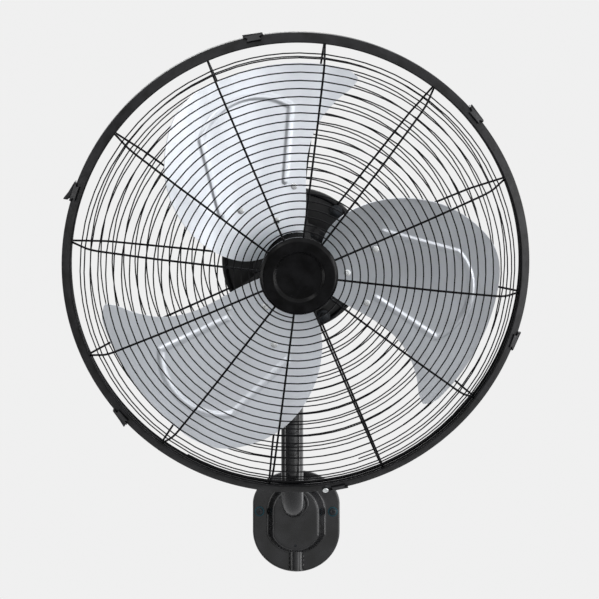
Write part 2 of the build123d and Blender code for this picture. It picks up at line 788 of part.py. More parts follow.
# ================================================================ rotor
def bent_sheet(front_r, thickness):
    """Part of a tube that a blade, its bead or its arm is cut from.

    It bends round a line that leans back from the blade's own angle.  front_r is the radius
    of its front face, so a larger one lies further behind.
    """
    length = blade_tip_r + 20
    ring = extrude(Circle(front_r + thickness) - Circle(front_r), length, dir=(0, 0, 1))
    strip = ring & Pos(0, -blade_camber_r, length / 2) * Box(440, 200, length + 2)
    strip = Rot(0, 0, blade_pitch) * Pos(camber_offset, blade_camber_r - camber_sag, 0) * strip
    laid = Plane(origin=(0, -blade_mid_w, 0), x_dir=(0, 0, 1), z_dir=(1, 0, 0)).location
    return at(blade_lean) * laid * strip


def polar_points(*pairs):
    return [(r * cos(radians(a)), r * sin(radians(a))) for r, a in pairs]


root_share = root_r / blade_tip_r


def planform(*pairs):
    """Points of the blade's outline from shares of its tip radius and angles."""
    return polar_points(*[(share * blade_tip_r, angle) for share, angle in pairs])


def through(face):
    """Prism of a planform along the motor axis."""
    return extrude(Plane.XZ * face, 90, both=True)


def blade_outline():
    """Planform of one blade as seen from the front, its own angle along +X."""
    lead = Spline(*planform((root_share, -41), (0.304, -38.5), (0.433, -35.8), (0.567, -35.4), (0.713, -38.3),
                                (0.834, -43), (0.939, -47.4)))
    tip_start, tip_middle, tip_end, corner_middle = planform(
        (1, -42), (1, -23), (1, -5), (0.986, -46.2))
    corner = ThreePointArc(lead @ 1, corner_middle, tip_start)
    tip = ThreePointArc(tip_start, tip_middle, tip_end)
    trail = Spline(*planform((1, -5), (0.972, 7), (0.895, 15.5), (0.781, 25.2), (0.632, 35.3), (0.478, 44.3),
                                 (0.348, 50.5), (0.251, 52), (root_share, 44)))
    root = ThreePointArc(trail @ 1, (root_r, 0), lead @ 0)
    return make_face(lead + corner + tip + trail + root)


def bead_outline():
    """Pressed rib: two legs from the root joined by a round arch short of the tip."""
    left_foot, left_top, crest, right_top, right_foot = planform(
        (0.462, 24), (0.794, 6.5), (0.874, -12), (0.794, -27.5), (0.429, -22))
    return Line(left_foot, left_top) + ThreePointArc(left_top, crest, right_top) + Line(right_top, right_foot)


def blade():
    body = bent_sheet(blade_camber_r, blade_t) & through(blade_outline())
    raised = bent_sheet(blade_camber_r - bead_h, bead_h + 0.1)
    return body + (raised & through(trace(bead_outline(), bead_w)))


def blade_angle(k):
    return blade_first + 360 / blade_count * k


def arm_outline():
    """Rounded plate behind the blade's root."""
    points = polar_points((hub_r - 6, arm_angle + 62), (arm_r - 5, arm_angle + arm_spread + 5),
                          (arm_r, arm_angle + arm_spread - 3), (arm_r, arm_angle - arm_spread + 3),
                          (arm_r - 5, arm_angle - arm_spread - 5), (hub_r - 6, arm_angle - 62))
    return make_face(Polyline(*points, close=True))


def hub_spider():
    """Hub on the shaft with a rear flange and one bent arm for each blade."""
    hub = turned((bore_r, hub_rear), (hub_flange_r, hub_rear), (hub_flange_r, hub_rear + hub_flange_t),
                 (hub_r, hub_rear + hub_flange_t), (hub_r, hub_front), (bore_r, hub_front))
    sheet = bent_sheet(blade_camber_r + blade_t + seat_gap, arm_t)
    arm = (sheet & through(arm_outline())) - along_axis(hub_r - 3, -60, 60)
    for k in range(blade_count):
        hub += at(blade_angle(k)) * arm
    return hub


# ================================================================ assembly
add("wall_plate", wall_plate())
add("wall_screws", wall_screws())
add("wall_washers", wall_washers())
add("neck_tube", neck_tube())
add("tube_flange", tube_flange())
add("tube_bush", tube_bush(), bracket_top)
add("clamp_collar", clamp_collar(), bracket_top)
add("clamp_screw", clamp_screw(), bracket_top)
add("clamp_knob", clamp_knob(), bracket_top)

add("tilt_yoke", tilt_yoke(), swivel)
add("tilt_bolt", tilt_bolt(), swivel)
add("tilt_knob", tilt_knob(), swivel)

add("motor_foot", motor_foot(), head)
add("motor_front_bell", motor_front_bell(), head)
add("motor_rear_bell", motor_rear_bell(), head)
add("stator", stator(), head)
add("switch_box", switch_box(), head)
add("switch_lid", switch_lid(), head)
add("rotary_switch", rotary_switch(), head)
add("speed_knob", speed_knob(), head)
add("cord_gland", cord_gland(), head)
add("guard_disc", guard_disc(), head)
add("guard_bolts", guard_bolts(), head)
add("rear_ribs", rear_ribs(), head)
add("rear_spiral", rear_spiral(), head)
add("rear_rings", rear_rings(), head)
add("front_ribs", front_ribs(), head)
add("front_spiral", front_spiral(), head)
add("front_rings", front_rings(), head)
add("rim_band", rim_band(), head)
for k in range(clip_count):
    add(f"clip_{k + 1}", at(clip_angle_of(k)) * clip(), head)
add("front_cap", front_cap(), head)
add("cap_backing", cap_backing(), head)

add("rotor_core", rotor_core(), head)
add("motor_shaft", motor_shaft(), head)
add("hub_spider", hub_spider(), head)
for k in range(blade_count):
    add(f"blade_{k + 1}", at(blade_angle(k)) * blade(), head)

for name, shape in nodes.items():
    export_step(shape, f"parts/{name}.step")
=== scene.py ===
import bmesh
import bpy
import numpy as np
from math import atan2, cos, pi, radians, sin, tan
from mathutils import Matrix, Vector


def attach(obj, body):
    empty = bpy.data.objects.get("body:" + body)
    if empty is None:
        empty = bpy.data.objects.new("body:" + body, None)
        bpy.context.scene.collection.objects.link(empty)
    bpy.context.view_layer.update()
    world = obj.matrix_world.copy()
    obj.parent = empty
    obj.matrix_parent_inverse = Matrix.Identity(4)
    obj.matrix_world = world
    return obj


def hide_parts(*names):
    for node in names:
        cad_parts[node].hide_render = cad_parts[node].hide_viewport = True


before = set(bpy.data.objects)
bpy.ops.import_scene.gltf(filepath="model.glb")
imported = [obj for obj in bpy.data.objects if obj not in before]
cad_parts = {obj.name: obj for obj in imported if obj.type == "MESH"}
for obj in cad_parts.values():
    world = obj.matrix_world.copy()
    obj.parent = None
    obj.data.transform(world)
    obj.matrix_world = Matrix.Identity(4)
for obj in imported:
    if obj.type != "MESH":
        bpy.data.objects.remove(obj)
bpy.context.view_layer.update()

bl_info = {
    "name": "Wall mounted fan",
    "version": (1, 0, 0),
    "blender": (4, 5, 0),
    "location": "3D View > Sidebar > Fan",
    "description": "Round wires, stamped blades, paint and studio for the wall mounted fan",
    "category": "Object",
}

MM = 0.001

# ------------------------------------------------------------------ places, as the CAD has them
PAN, TILT = radians(5.6), radians(11.7)
TUBE_Y, PIVOT_Z = -110.0, 250.6
SWIVEL = Matrix.Translation((0, TUBE_Y, 0)) @ Matrix.Rotation(PAN, 4, "Z")
HEAD = (SWIVEL @ Matrix.Translation((0, 0, PIVOT_Z)) @ Matrix.Rotation(TILT, 4, "X")
        @ Matrix.Translation((0, -95, 88)))
HERE = Matrix.Identity(4)
RIB_ANGLE, RIBS = 23.5, 12
RIM_R, RIM_REAR, RIM_WEB, RIM_FRONT, RIM_LIP = 285.0, -13.0, 2.0, 13.0, 10.5
SLOPE = atan2(RIM_FRONT - RIM_WEB, RIM_LIP)
CLIP_ANGLE, FLARES = 41.1, (1.2, 0.8, 6.3, 3.0, 0.0, 1.2)
CLIPS = [CLIP_ANGLE + 60 * k for k in range(6)]
SCREW_ANGLE = 277.8
RING_R = 275.15
FRONT_RING_W, REAR_RING_W = 4.75, -8.7
CROWN_W = 55.0
BLADES = 3
CAMBER_R, PITCH, LEAN = 714.0, 12.0, 20.0
ARM_ANGLE = -6.9


# ------------------------------------------------------------------ settings
class FanSizes(bpy.types.PropertyGroup):
    """Sizes of the forms that the CAD solids leave to this file."""
    rib_wire: bpy.props.FloatProperty(
        name="Rib wire", description="Diameter of the radial wires", default=0.0026, unit="LENGTH")
    spiral_wire: bpy.props.FloatProperty(
        name="Spiral wire", description="Diameter of the spiral wires", default=0.0016, unit="LENGTH")
    ring_wire: bpy.props.FloatProperty(
        name="Ring wire", description="Diameter of the outer rings' wire", default=0.0045, unit="LENGTH")
    weld: bpy.props.FloatProperty(
        name="Weld", description="Growth of the spiral wire where it is welded on a rib",
        default=0.00025, unit="LENGTH")
    sheet: bpy.props.FloatProperty(
        name="Blade sheet", description="Thickness of the blades", default=0.0015, unit="LENGTH")
    bead: bpy.props.FloatProperty(
        name="Bead height", description="Height of the ribs pressed in the blades",
        default=0.0022, unit="LENGTH")
    fold: bpy.props.FloatProperty(
        name="Fold", description="Slope of the strip along each blade's leading edge", default=-0.02)
    rivet: bpy.props.FloatProperty(
        name="Rivet head", description="Diameter of the blade rivets", default=0.0085, unit="LENGTH")
    camera_distance: bpy.props.FloatProperty(
        name="Camera distance", description="From the camera to the fan", default=3.0, unit="LENGTH")


def tint(label, text, colour):
    return bpy.props.FloatVectorProperty(name=label, description=text, default=colour, size=3,
                                         min=0.0, max=1.0, subtype="COLOR")


class FanColours(bpy.types.PropertyGroup):
    """Linear colours of the finishes."""
    gloss: tint("Gloss black", "Stoved enamel of the plate and the tube", (0.008, 0.008, 0.009))
    rim: tint("Textured black", "Powder coat of the band", (0.006, 0.006, 0.007))
    # The clips' black is a lighter black than the band's
    clip: tint("Clip black", "Powder coat of the clips, lighter than the band's", (0.022, 0.022, 0.024))
    wire: tint("Wire black", "Dipped paint of the guards", (0.005, 0.005, 0.006))
    cap: tint("Cap black", "Moulded cap in front of the guard", (0.0035, 0.0035, 0.004))
    plastic: tint("Black plastic", "Box and knobs", (0.018, 0.018, 0.019))
    hub: tint("Hub black", "Enamel of the hub and its arms", (0.005, 0.005, 0.006))
    motor: tint("Motor black", "Paint of the motor and its disc", (0.012, 0.012, 0.013))
    passivated: tint("Dark zinc", "Passivated washers", (0.028, 0.065, 0.080))
    oxide: tint("Black oxide", "Wall screws and guard bolts", (0.035, 0.038, 0.042))
    blade: tint("Blade", "Satin aluminium sheet", (0.775, 0.805, 0.85))
    zinc: tint("Zinc", "Plated screws and washers", (0.46, 0.53, 0.53))
    steel: tint("Steel", "Bare shaft and bolts", (0.50, 0.49, 0.47))
    background: tint("Background", "Paper behind the fan", (0.870, 0.870, 0.870))


def sizes():
    return bpy.context.scene.fan_sizes


def colours():
    return bpy.context.scene.fan_colours


# ------------------------------------------------------------------ finishes
def node(tree, kind, **inputs):
    """New shader node with some inputs set; an underscore stands for a space in an input's name."""
    new = tree.nodes.new("ShaderNode" + kind)
    for key, value in inputs.items():
        new.inputs[key.replace("_", " ")].default_value = value
    return new


def noise(tree, where, scale, detail):
    """Noise over the given coordinates."""
    new = node(tree, "TexNoise", Scale=scale, Detail=detail)
    tree.links.new(where, new.inputs["Vector"])
    return new.outputs["Fac"]


def spread(tree, source, low=0.0, high=1.0):
    """Noise crowds about its middle: its usual range is stretched to the given one."""
    new = node(tree, "MapRange", From_Min=0.36, From_Max=0.64, To_Min=low, To_Max=high)
    tree.links.new(source, new.inputs["Value"])
    return new.outputs[0]


def finish(name, colour, rough=(0.3, 0.4), metallic=0.0, cloud=(6.0, 0.06), grain=(900.0, 0.02),
           coat=0.0, specular=0.5, streak=(1.0, 1.0, 1.0)):
    """Shader with clouds of tone, uneven roughness and a fine grain, all on Object coordinates.

    cloud is (scale, share of tone), grain is (scale, height in millimetres) and streak
    stretches the grain along one axis, as rolled sheet has it. On the gloss enamel the
    clouds of tone are painted reflections, mottled highlights on its black.
    """
    mat = bpy.data.materials.get(name)
    if mat:
        return mat
    mat = bpy.data.materials.new(name)
    mat.use_nodes = True
    mat.diffuse_color = (*colour, 1.0)
    tree = mat.node_tree
    tree.nodes.clear()
    link = tree.links.new
    shader = node(tree, "BsdfPrincipled", Metallic=metallic, Specular_IOR_Level=specular, Coat_Weight=coat,
                  Coat_Roughness=0.08)
    link(shader.outputs[0], node(tree, "OutputMaterial").inputs[0])
    place = node(tree, "TexCoord").outputs["Object"]
    mapping = node(tree, "Mapping", Scale=streak)
    link(place, mapping.inputs["Vector"])

    # Clouds of tone; on the gloss enamel, whose share is whole, they are painted reflections
    tone = node(tree, "Mix")
    tone.data_type = "RGBA"
    low = [c * (1 - cloud[1]) for c in colour]
    high = [min(c * (1 + cloud[1]) + 0.002 * cloud[1], 1.0) for c in colour]
    tone.inputs[6].default_value = (*low, 1.0)
    tone.inputs[7].default_value = (*high, 1.0)
    link(spread(tree, noise(tree, place, cloud[0], 5.0)), tone.inputs[0])
    link(tone.outputs[2], shader.inputs["Base Color"])

    patches = noise(tree, mapping.outputs[0], cloud[0] * 7, 3.0)
    link(spread(tree, patches, *rough), shader.inputs["Roughness"])

    bump = node(tree, "Bump", Strength=1.0, Distance=grain[1] * MM)
    link(noise(tree, mapping.outputs[0], grain[0], 2.0), bump.inputs["Height"])
    link(bump.outputs[0], shader.inputs["Normal"])
    return mat


def gloss_black():
    # Its clouds of tone, from no colour up to twice the enamel's black, are painted reflections: mottled
    # highlights on the gloss black parts
    return finish("gloss_enamel_painted_reflections", colours().gloss, (0.10, 0.34), cloud=(32.0, 1.0), grain=(140.0, 0.04),
                  coat=0.4, specular=0.35)


def rim_black():
    return finish("textured_powder", colours().rim, (0.34, 0.52), cloud=(60.0, 0.9), grain=(1100.0, 0.07),
                  specular=0.2)


def clip_black():
    return finish("clip_powder", colours().clip, (0.38, 0.50), cloud=(30.0, 0.3), grain=(1100.0, 0.06),
                  specular=0.35)


def wire_black():
    return finish("dipped_wire", colours().wire, (0.18, 0.30), cloud=(12.0, 0.12), grain=(500.0, 0.012),
                  specular=0.1)


def hub_black():
    return finish("hub_enamel", colours().hub, (0.14, 0.22), cloud=(12.0, 0.1), grain=(420.0, 0.012),
                  coat=0.2, specular=0.25)


def motor_black():
    return finish("motor_paint", colours().motor, (0.32, 0.44), cloud=(10.0, 0.15), grain=(700.0, 0.03),
                  specular=0.3)


def zinc():
    return finish("zinc_plate", colours().zinc, (0.24, 0.38), 1.0, cloud=(60.0, 0.14), grain=(900.0, 0.008))


def bright_zinc():
    return finish("bright_zinc", (0.80, 0.82, 0.82), (0.16, 0.26), 1.0, cloud=(60.0, 0.1),
                  grain=(900.0, 0.006))


def dark_zinc():
    return finish("passivated_zinc", colours().passivated, (0.30, 0.42), 1.0, cloud=(60.0, 0.2),
                  grain=(900.0, 0.008))


def black_oxide():
    return finish("black_oxide", colours().oxide, (0.28, 0.40), 0.8, cloud=(50.0, 0.2), grain=(900.0, 0.010))


def steel():
    return finish("bare_steel", colours().steel, (0.2, 0.34), 1.0, cloud=(40.0, 0.1), grain=(800.0, 0.006))


def aluminium():
    return finish("blade_sheet", colours().blade, (0.38, 0.50), 0.9, cloud=(5.0, 0.03),
                  grain=(500.0, 0.010), streak=(1.0, 1.0, 0.12))


def cap_plastic():
    return finish("moulded_cap", colours().cap, (0.16, 0.26), cloud=(60.0, 0.8), grain=(1300.0, 0.03),
                  specular=0.1)


def box_plastic():
    return finish("moulded_box", colours().plastic, (0.40, 0.52), cloud=(9.0, 0.08), grain=(1000.0, 0.05))


def knob_plastic():
    return finish("moulded_knob", colours().plastic, (0.30, 0.42), cloud=(20.0, 0.08), grain=(900.0, 0.03))


def nylon():
    return finish("nylon", (0.62, 0.60, 0.55), (0.45, 0.55), cloud=(20.0, 0.05), grain=(700.0, 0.02))


def rubber():
    return finish("rubber", (0.014, 0.014, 0.014), (0.6, 0.72), cloud=(20.0, 0.1), grain=(900.0, 0.05))


def laminations():
    return finish("laminated_core", (0.20, 0.19, 0.18), (0.4, 0.55), 1.0, cloud=(30.0, 0.2),
                  grain=(900.0, 0.05))


# ------------------------------------------------------------------ mesh building
def cleaned(mesh, gap, specks=0.0, flat=0.0):
    """Merge a mesh's doubles, drop its specks, join its flat faces and turn all faces outward."""
    work = bmesh.new()
    work.from_mesh(mesh)
    bmesh.ops.remove_doubles(work, verts=work.verts, dist=gap)
    if specks:
        bmesh.ops.dissolve_degenerate(work, edges=work.edges, dist=specks)
    if flat:
        seams = [e for e in work.edges if len(e.link_faces) == 2 and e.calc_face_angle(0) < flat]
        bmesh.ops.dissolve_edges(work, edges=seams, use_verts=False)
    bmesh.ops.recalc_face_normals(work, faces=work.faces)
    work.to_mesh(mesh)
    work.free()
    return mesh


def put(name, points, faces, body, material, replaces=(), slot="", sharp=40.0):
    """Mesh object from points in millimetres, left unturned at the origin.

    The bracket's points are in the part's own frame, those of all other bodies in the head's.
    """
    m = np.array(HERE if body == "bracket" else HEAD)
    points = np.asarray(points, float).reshape(-1, 3)
    world = (points @ m[:3, :3].T + m[:3, 3]) * MM
    mesh = bpy.data.meshes.new(name)
    mesh.from_pydata(world.tolist(), [], [tuple(f) for f in faces])
    obj = bpy.data.objects.new(name, cleaned(mesh, 2e-7, specks=1e-8))
    return own(obj, body, material, replaces, sharp)


def own(obj, body, material, replaces, sharp):
    """Link a piece, give it its finish and let it ride on its body."""
    if obj.name not in bpy.context.scene.collection.objects:
        bpy.context.scene.collection.objects.link(obj)
    obj.data.materials.clear()
    obj.data.materials.append(material)
    obj.data.shade_smooth()
    obj.data.set_sharp_from_angle(angle=radians(sharp))
    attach(obj, body)
    if replaces:
        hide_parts(*replaces)
    return obj


def quads(rows, columns, ring=True, loop=False):
    """Faces of a grid of rows x columns points; ring closes the columns, loop the rows."""
    i = np.arange(rows if loop else rows - 1)[:, None]
    j = np.arange(columns if ring else columns - 1)[None, :]
    i2, j2 = (i + 1) % rows, (j + 1) % columns
    a, b, c, d = i * columns + j, i * columns + j2, i2 * columns + j2, i2 * columns + j
    return np.stack(np.broadcast_arrays(a, b, c, d), -1).reshape(-1, 4).tolist()


def rounded(points, radii, steps=5, close=False):
    """Polyline whose corners are replaced by arcs tangent to both of their sides."""
    points = [np.array(p, float) for p in points]
    count = len(points)
    radii = [radii] * count if np.isscalar(radii) else list(radii)
    line = []
    for k, p in enumerate(points):
        if not close and k in (0, count - 1):
            line.append(p)
            continue
        a, b = points[k - 1] - p, points[(k + 1) % count] - p
        la, lb = np.linalg.norm(a), np.linalg.norm(b)
        a, b = a / la, b / lb
        half = np.arccos(np.clip(a @ b, -1, 1)) / 2
        if radii[k] <= 0 or half > pi / 2 - 0.01:
            line.append(p)
            continue
        reach = min(radii[k] / tan(half), 0.49 * la, 0.49 * lb)
        r = reach * tan(half)
        centre = p + (a + b) / np.linalg.norm(a + b) * r / sin(half)
        start, end = p + a * reach - centre, p + b * reach - centre
        turn = pi - 2 * half
        for t in np.linspace(0, 1, steps + 1):
            arc = (start * sin((1 - t) * turn) + end * sin(t * turn)) / sin(turn)
            line.append(centre + arc)
    return np.array(line)


def lathe(profile, sides=128):
    """Points and faces of (r, w) turned about the motor axis; w is the distance to the front."""
    profile = np.asarray(profile, float)
    a = np.linspace(0, 2 * pi, sides, endpoint=False)
    r, w = profile[:, :1], profile[:, 1:]
    grid = np.stack([r * np.cos(a), -w + 0 * a, r * np.sin(a)], -1)
    return grid.reshape(-1, 3), quads(len(profile), sides)


def closed_lathe(profile, sides=128):
    points, _ = lathe(profile, sides)
    return points, quads(len(profile), sides, loop=True)


def swept(path, radius, sides, beside=None):
    """Round wire along a path: circles in the planes across it, kept from twisting.

    beside gives one direction across the wire at each point; without it a fixed one is used.
    """
    path = np.asarray(path, float)
    ahead = np.gradient(path, axis=0)
    ahead /= np.linalg.norm(ahead, axis=1)[:, None]
    if beside is None:
        beside = np.broadcast_to(np.array([0.31, 0.87, 0.38]), path.shape)
    across = np.cross(ahead, beside)
    across /= np.linalg.norm(across, axis=1)[:, None]
    up = np.cross(across, ahead)
    a = np.linspace(0, 2 * pi, sides, endpoint=False)
    radius = np.broadcast_to(np.asarray(radius, float), (len(path),))[:, None, None]
    ring = across[:, None] * np.cos(a)[None, :, None] + up[:, None] * np.sin(a)[None, :, None]
    grid = path[:, None] + radius * ring
    return capped(grid, path)


def capped(grid, middles):
    """Tube from its grid of circles, closed at both ends about the circles' middles."""
    rows, sides = grid.shape[:2]
    j = np.arange(sides)
    j2, last, base = (j + 1) % sides, rows * sides, (rows - 1) * sides
    faces = quads(rows, sides)
    faces += np.stack([j2, j, np.full(sides, last)], -1).tolist()
    faces += np.stack([base + j, base + j2, np.full(sides, last + 1)], -1).tolist()
    return np.vstack([grid.reshape(-1, 3), middles[:1], middles[-1:]]), faces


def joined(parts):
    """One list of points and faces from several."""
    points, faces, base = [], [], 0
    for p, f in parts:
        points.append(np.asarray(p))
        faces += [[v + base for v in face] for face in f]
        base += len(p)
    return np.vstack(points), faces


def turned_to(points, angle):
    """Turn about the motor axis, anticlockwise as seen from the front."""
    c, s = cos(radians(angle)), sin(radians(angle))
    p = np.asarray(points, float)
    return np.stack([p[:, 0] * c - p[:, 2] * s, p[:, 1], p[:, 0] * s + p[:, 2] * c], -1)


def wheel(part, count, start=0.0):
    """Copies of a piece at even steps about the motor axis."""
    return joined([(turned_to(part[0], start + 360 / count * k), part[1]) for k in range(count)])


def layers(outline, middle, steps, place):
    """Closed plate: the outline shrunk about a middle to each (height, share), placed in space."""
    rings = [np.stack(np.broadcast_arrays(*place(*(middle + (outline - middle) * share).T, height)), -1)
             for height, share in steps]
    return np.vstack(rings), quads(len(rings), len(outline))


def polar(r, angle, w):
    """Points of the head from radius, angle in degrees and distance in front of the rim."""
    a = np.radians(angle)
    return np.stack(np.broadcast_arrays(r * np.cos(a), -np.asarray(w), r * np.sin(a)), -1)


def dressed(source_node, name, body, material, bevel=0.4, steps=2):
    """Copy of a CAD node with its corners rounded, in place of the node."""
    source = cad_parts[source_node]
    mesh = source.data.copy()
    mesh.transform(source.matrix_world)
    mesh.name = name
    cleaned(mesh, 2e-6, flat=radians(0.5))
    obj = bpy.data.objects.new(name, mesh)
    bpy.context.scene.collection.objects.link(obj)
    bevelled(obj, bevel, steps, 30)
    return own(obj, body, material, (source_node,), 35.0)


def bevelled(obj, width, steps, angle):
    """Round the edges of a piece that are sharper than an angle."""
    edge = obj.modifiers.new("rounded edges", "BEVEL")
    edge.width = width * MM
    edge.segments = steps
    edge.limit_method = "ANGLE"
    edge.angle_limit = radians(angle)
    baked(obj)


def cut(obj, meshes, sharp):
    """Take closed meshes away from a piece."""
    cutters = [bpy.data.objects.new("cutter", mesh) for mesh in meshes]
    for cutter in cutters:
        bpy.context.scene.collection.objects.link(cutter)
        step = obj.modifiers.new("cut", "BOOLEAN")
        step.operation, step.object, step.solver = "DIFFERENCE", cutter, "EXACT"
    baked(obj)
    for cutter in cutters:
        bpy.data.objects.remove(cutter)
    obj.data.shade_smooth()
    obj.data.set_sharp_from_angle(angle=radians(sharp))


def baked(obj):
    """Put the result of a piece's modifiers into its mesh."""
    graph = bpy.context.evaluated_depsgraph_get()
    graph.update()
    result = bpy.data.meshes.new_from_object(obj.evaluated_get(graph))
    obj.modifiers.clear()
    obj.data = result


def screw(diameter, height, cross, sides=48, rings=14):
    """Pan head with a cross recess: a low dome whose height falls inside the two slots.

    It stands on the plane w = 0 about the motor axis and looks to the front.
    """
    r = diameter / 2
    s = np.concatenate([np.linspace(0, 0.82, rings), 0.82 + 0.18 * np.sin(np.linspace(0.2, 1, 6) * pi / 2)])
    dome = np.where(s < 0.82, 1 - 0.12 * (s / 0.82) ** 2, 0)
    rim = (s - 0.82) / 0.18
    dome = np.where(s >= 0.82, 0.88 - 0.45 * (1 - np.sqrt(np.clip(1 - rim ** 2, 0, 1))), dome) * height
    a = np.linspace(0, 2 * pi, sides, endpoint=False)
    x, z = r * s[:, None] * np.cos(a), r * s[:, None] * np.sin(a)
    w = dome[:, None] + 0 * a
    slot, reach = 0.11 * diameter, 0.30 * diameter
    inside = (np.minimum(np.abs(x), np.abs(z)) < slot / 2) & (np.hypot(x, z) < reach)
    w = np.where(inside & cross, w - 0.45 * height * (1.2 - np.hypot(x, z) / reach), w)
    grid = np.stack([x, -w, z], -1).reshape(-1, 3)
    faces = quads(len(s), sides)
    base = np.stack([r * np.cos(a), 0 * a, r * np.sin(a)], -1)
    foot = len(grid)
    points = np.vstack([grid, base, [[0, 0, 0]]])
    j, last = np.arange(sides), (len(s) - 1) * sides
    j2 = (j + 1) % sides
    faces += np.stack([last + j, last + j2, foot + j2, foot + j], -1).tolist()
    faces += np.stack([foot + j, foot + j2, np.full(sides, foot + sides)], -1).tolist()
    return points, faces


def moved(part, shift=(0, 0, 0), turn=None):
    """Points turned by a 3 x 3 matrix and shifted, with their faces."""
    points, faces = part
    points = np.asarray(points, float)
    if turn is not None:
        points = points @ np.asarray(turn, float).T
    return points + np.asarray(shift, float), faces


TO_REAR = np.array([[-1, 0, 0], [0, -1, 0], [0, 0, 1]], float)


# ------------------------------------------------------------------ wire guards
def meridian(points, radii):
    """Dense rib line in (r, w) with its running length and its normal to the outside."""
    line = rounded(points, radii, steps=24)
    step = np.linalg.norm(np.diff(line, axis=0), axis=1)
    keep = np.concatenate([[True], step > 1e-6])
    line = line[keep]
    length = np.concatenate([[0], np.cumsum(np.linalg.norm(np.diff(line, axis=0), axis=1))])
    return line, length


def on_line(rib, s, side):
    """Radius, w and unit normal at the lengths s; side is 1 for a front guard, -1 for a rear one."""
    line, length = rib
    r, w = np.interp(s, length, line[:, 0]), np.interp(s, length, line[:, 1])
    h = 1.5
    dr = np.interp(s + h, length, line[:, 0]) - np.interp(s - h, length, line[:, 0])
    dw = np.interp(s + h, length, line[:, 1]) - np.interp(s - h, length, line[:, 1])
    n = np.hypot(dr, dw)
    return r, w, -dw / n * side, dr / n * side


def front_rib_line():
    return meridian([(39, 55), (173.8, 53), (250, 43), (273.4, 3.9)], [0, 427.5, 26.25, 0])


def rear_rib_line():
    return meridian([(86.0, -43.1), (232, -30), (273.2, -8.2)], [0, 29.2, 0])


def rib_wires(rib, side):
    """Radial wires: a round section carried along the rib line, repeated twelve times."""
    total = rib[1][-1]
    s = np.linspace(0, total, 60)
    r, w, nr, nw = on_line(rib, s, side)
    path = polar(r, 0.0, w)
    one = swept(path, sizes().rib_wire / MM / 2, 10, np.broadcast_to([0.0, 0.0, 1.0], path.shape))
    return wheel(one, RIBS, RIB_ANGLE)


def spiral_wire(rib, side, start, end, first, pitch):
    """Spiral over the ribs: the radius grows evenly with the angle and the height follows the rib line.

    The wire grows a little at each rib, where it is welded, so the steps are close together there.
    """
    radius = sizes().spiral_wire / MM / 2
    lift = sizes().rib_wire / MM / 2 + radius * 0.45
    turns = 1 + (end - start - first) / pitch
    crossings = np.arange(0, turns, 1 / RIBS)
    t = crossings
    length = start + first * np.minimum(t, 1) + pitch * np.maximum(t - 1, 0)
    r = np.interp(length, rib[1], rib[0][:, 0])
    near = np.array([-2.6, -1.5, -0.7, 0.0, 0.7, 1.5, 2.6])[None, :] / (2 * pi * r[:, None])
    between = np.array([0.22, 0.36, 0.5, 0.64, 0.78])[None, :] / RIBS
    t = np.concatenate([(t[:, None] + near).ravel(), (t[:, None] + between).ravel()])
    t = np.unique(np.clip(t, 0, turns))
    t = t[np.concatenate([[True], np.diff(t) > 2e-5])]
    length = start + first * np.minimum(t, 1) + pitch * np.maximum(t - 1, 0)
    r, w, nr, nw = on_line(rib, length, side)
    angle = RIB_ANGLE + 240 - 360 * t
    away = np.abs((t * RIBS + 0.5) % 1 - 0.5) / RIBS * 2 * pi * r
    growth = radius + sizes().weld / MM * np.exp(-(away / 1.1) ** 2)
    path = polar(r + lift * nr, angle, w + lift * nw)
    return swept(path, growth, 8, polar(nr, angle, nw))


def ring_of_wire(r, w, wire, sides=288, around=14):
    """Wire ring: a small circle turned about the motor axis."""
    a = np.linspace(0, 2 * pi, around, endpoint=False)
    return closed_lathe(np.stack([r + wire / 2 * np.cos(a), w + wire / 2 * np.sin(a)], -1), sides)


class FAN_OT_front_guard(bpy.types.Operator):
    """Make the round wires of the front guard"""
    bl_idname = "fan.front_guard"
    bl_label = "Front guard"

    def execute(self, context):
        rib = front_rib_line()
        end = rib[1][-1] - 18
        coil = spiral_wire(rib, 1, 12.6, end, 5.6, 9.5)
        put("front_spiral_wire", *coil, "head", wire_black(), ("front_spiral",))
        put("front_rib_wires", *rib_wires(rib, 1), "head", wire_black(), ("front_ribs",))
        rings = joined([ring_of_wire(RING_R, FRONT_RING_W, sizes().ring_wire / MM),
                        ring_of_wire(41, 51.75, 4.0, 144)])
        put("front_ring_wires", *rings, "head", wire_black(), ("front_rings",))
        return {"FINISHED"}


class FAN_OT_rear_guard(bpy.types.Operator):
    """Make the round wires of the rear guard"""
    bl_idname = "fan.rear_guard"
    bl_label = "Rear guard"

    def execute(self, context):
        rib = rear_rib_line()
        end = rib[1][-1] - 16
        coil = spiral_wire(rib, -1, 10.0, end, 14.0, 14.0)
        put("rear_spiral_wire", *coil, "head", wire_black(), ("rear_spiral",))
        put("rear_rib_wires", *rib_wires(rib, -1), "head", wire_black(), ("rear_ribs",))
        rings = joined([ring_of_wire(RING_R, REAR_RING_W, sizes().ring_wire / MM),
                        ring_of_wire(85, -42.95, 4.0, 192)])
        put("rear_ring_wires", *rings, "head", wire_black(), ("rear_rings",))
        return {"FINISHED"}


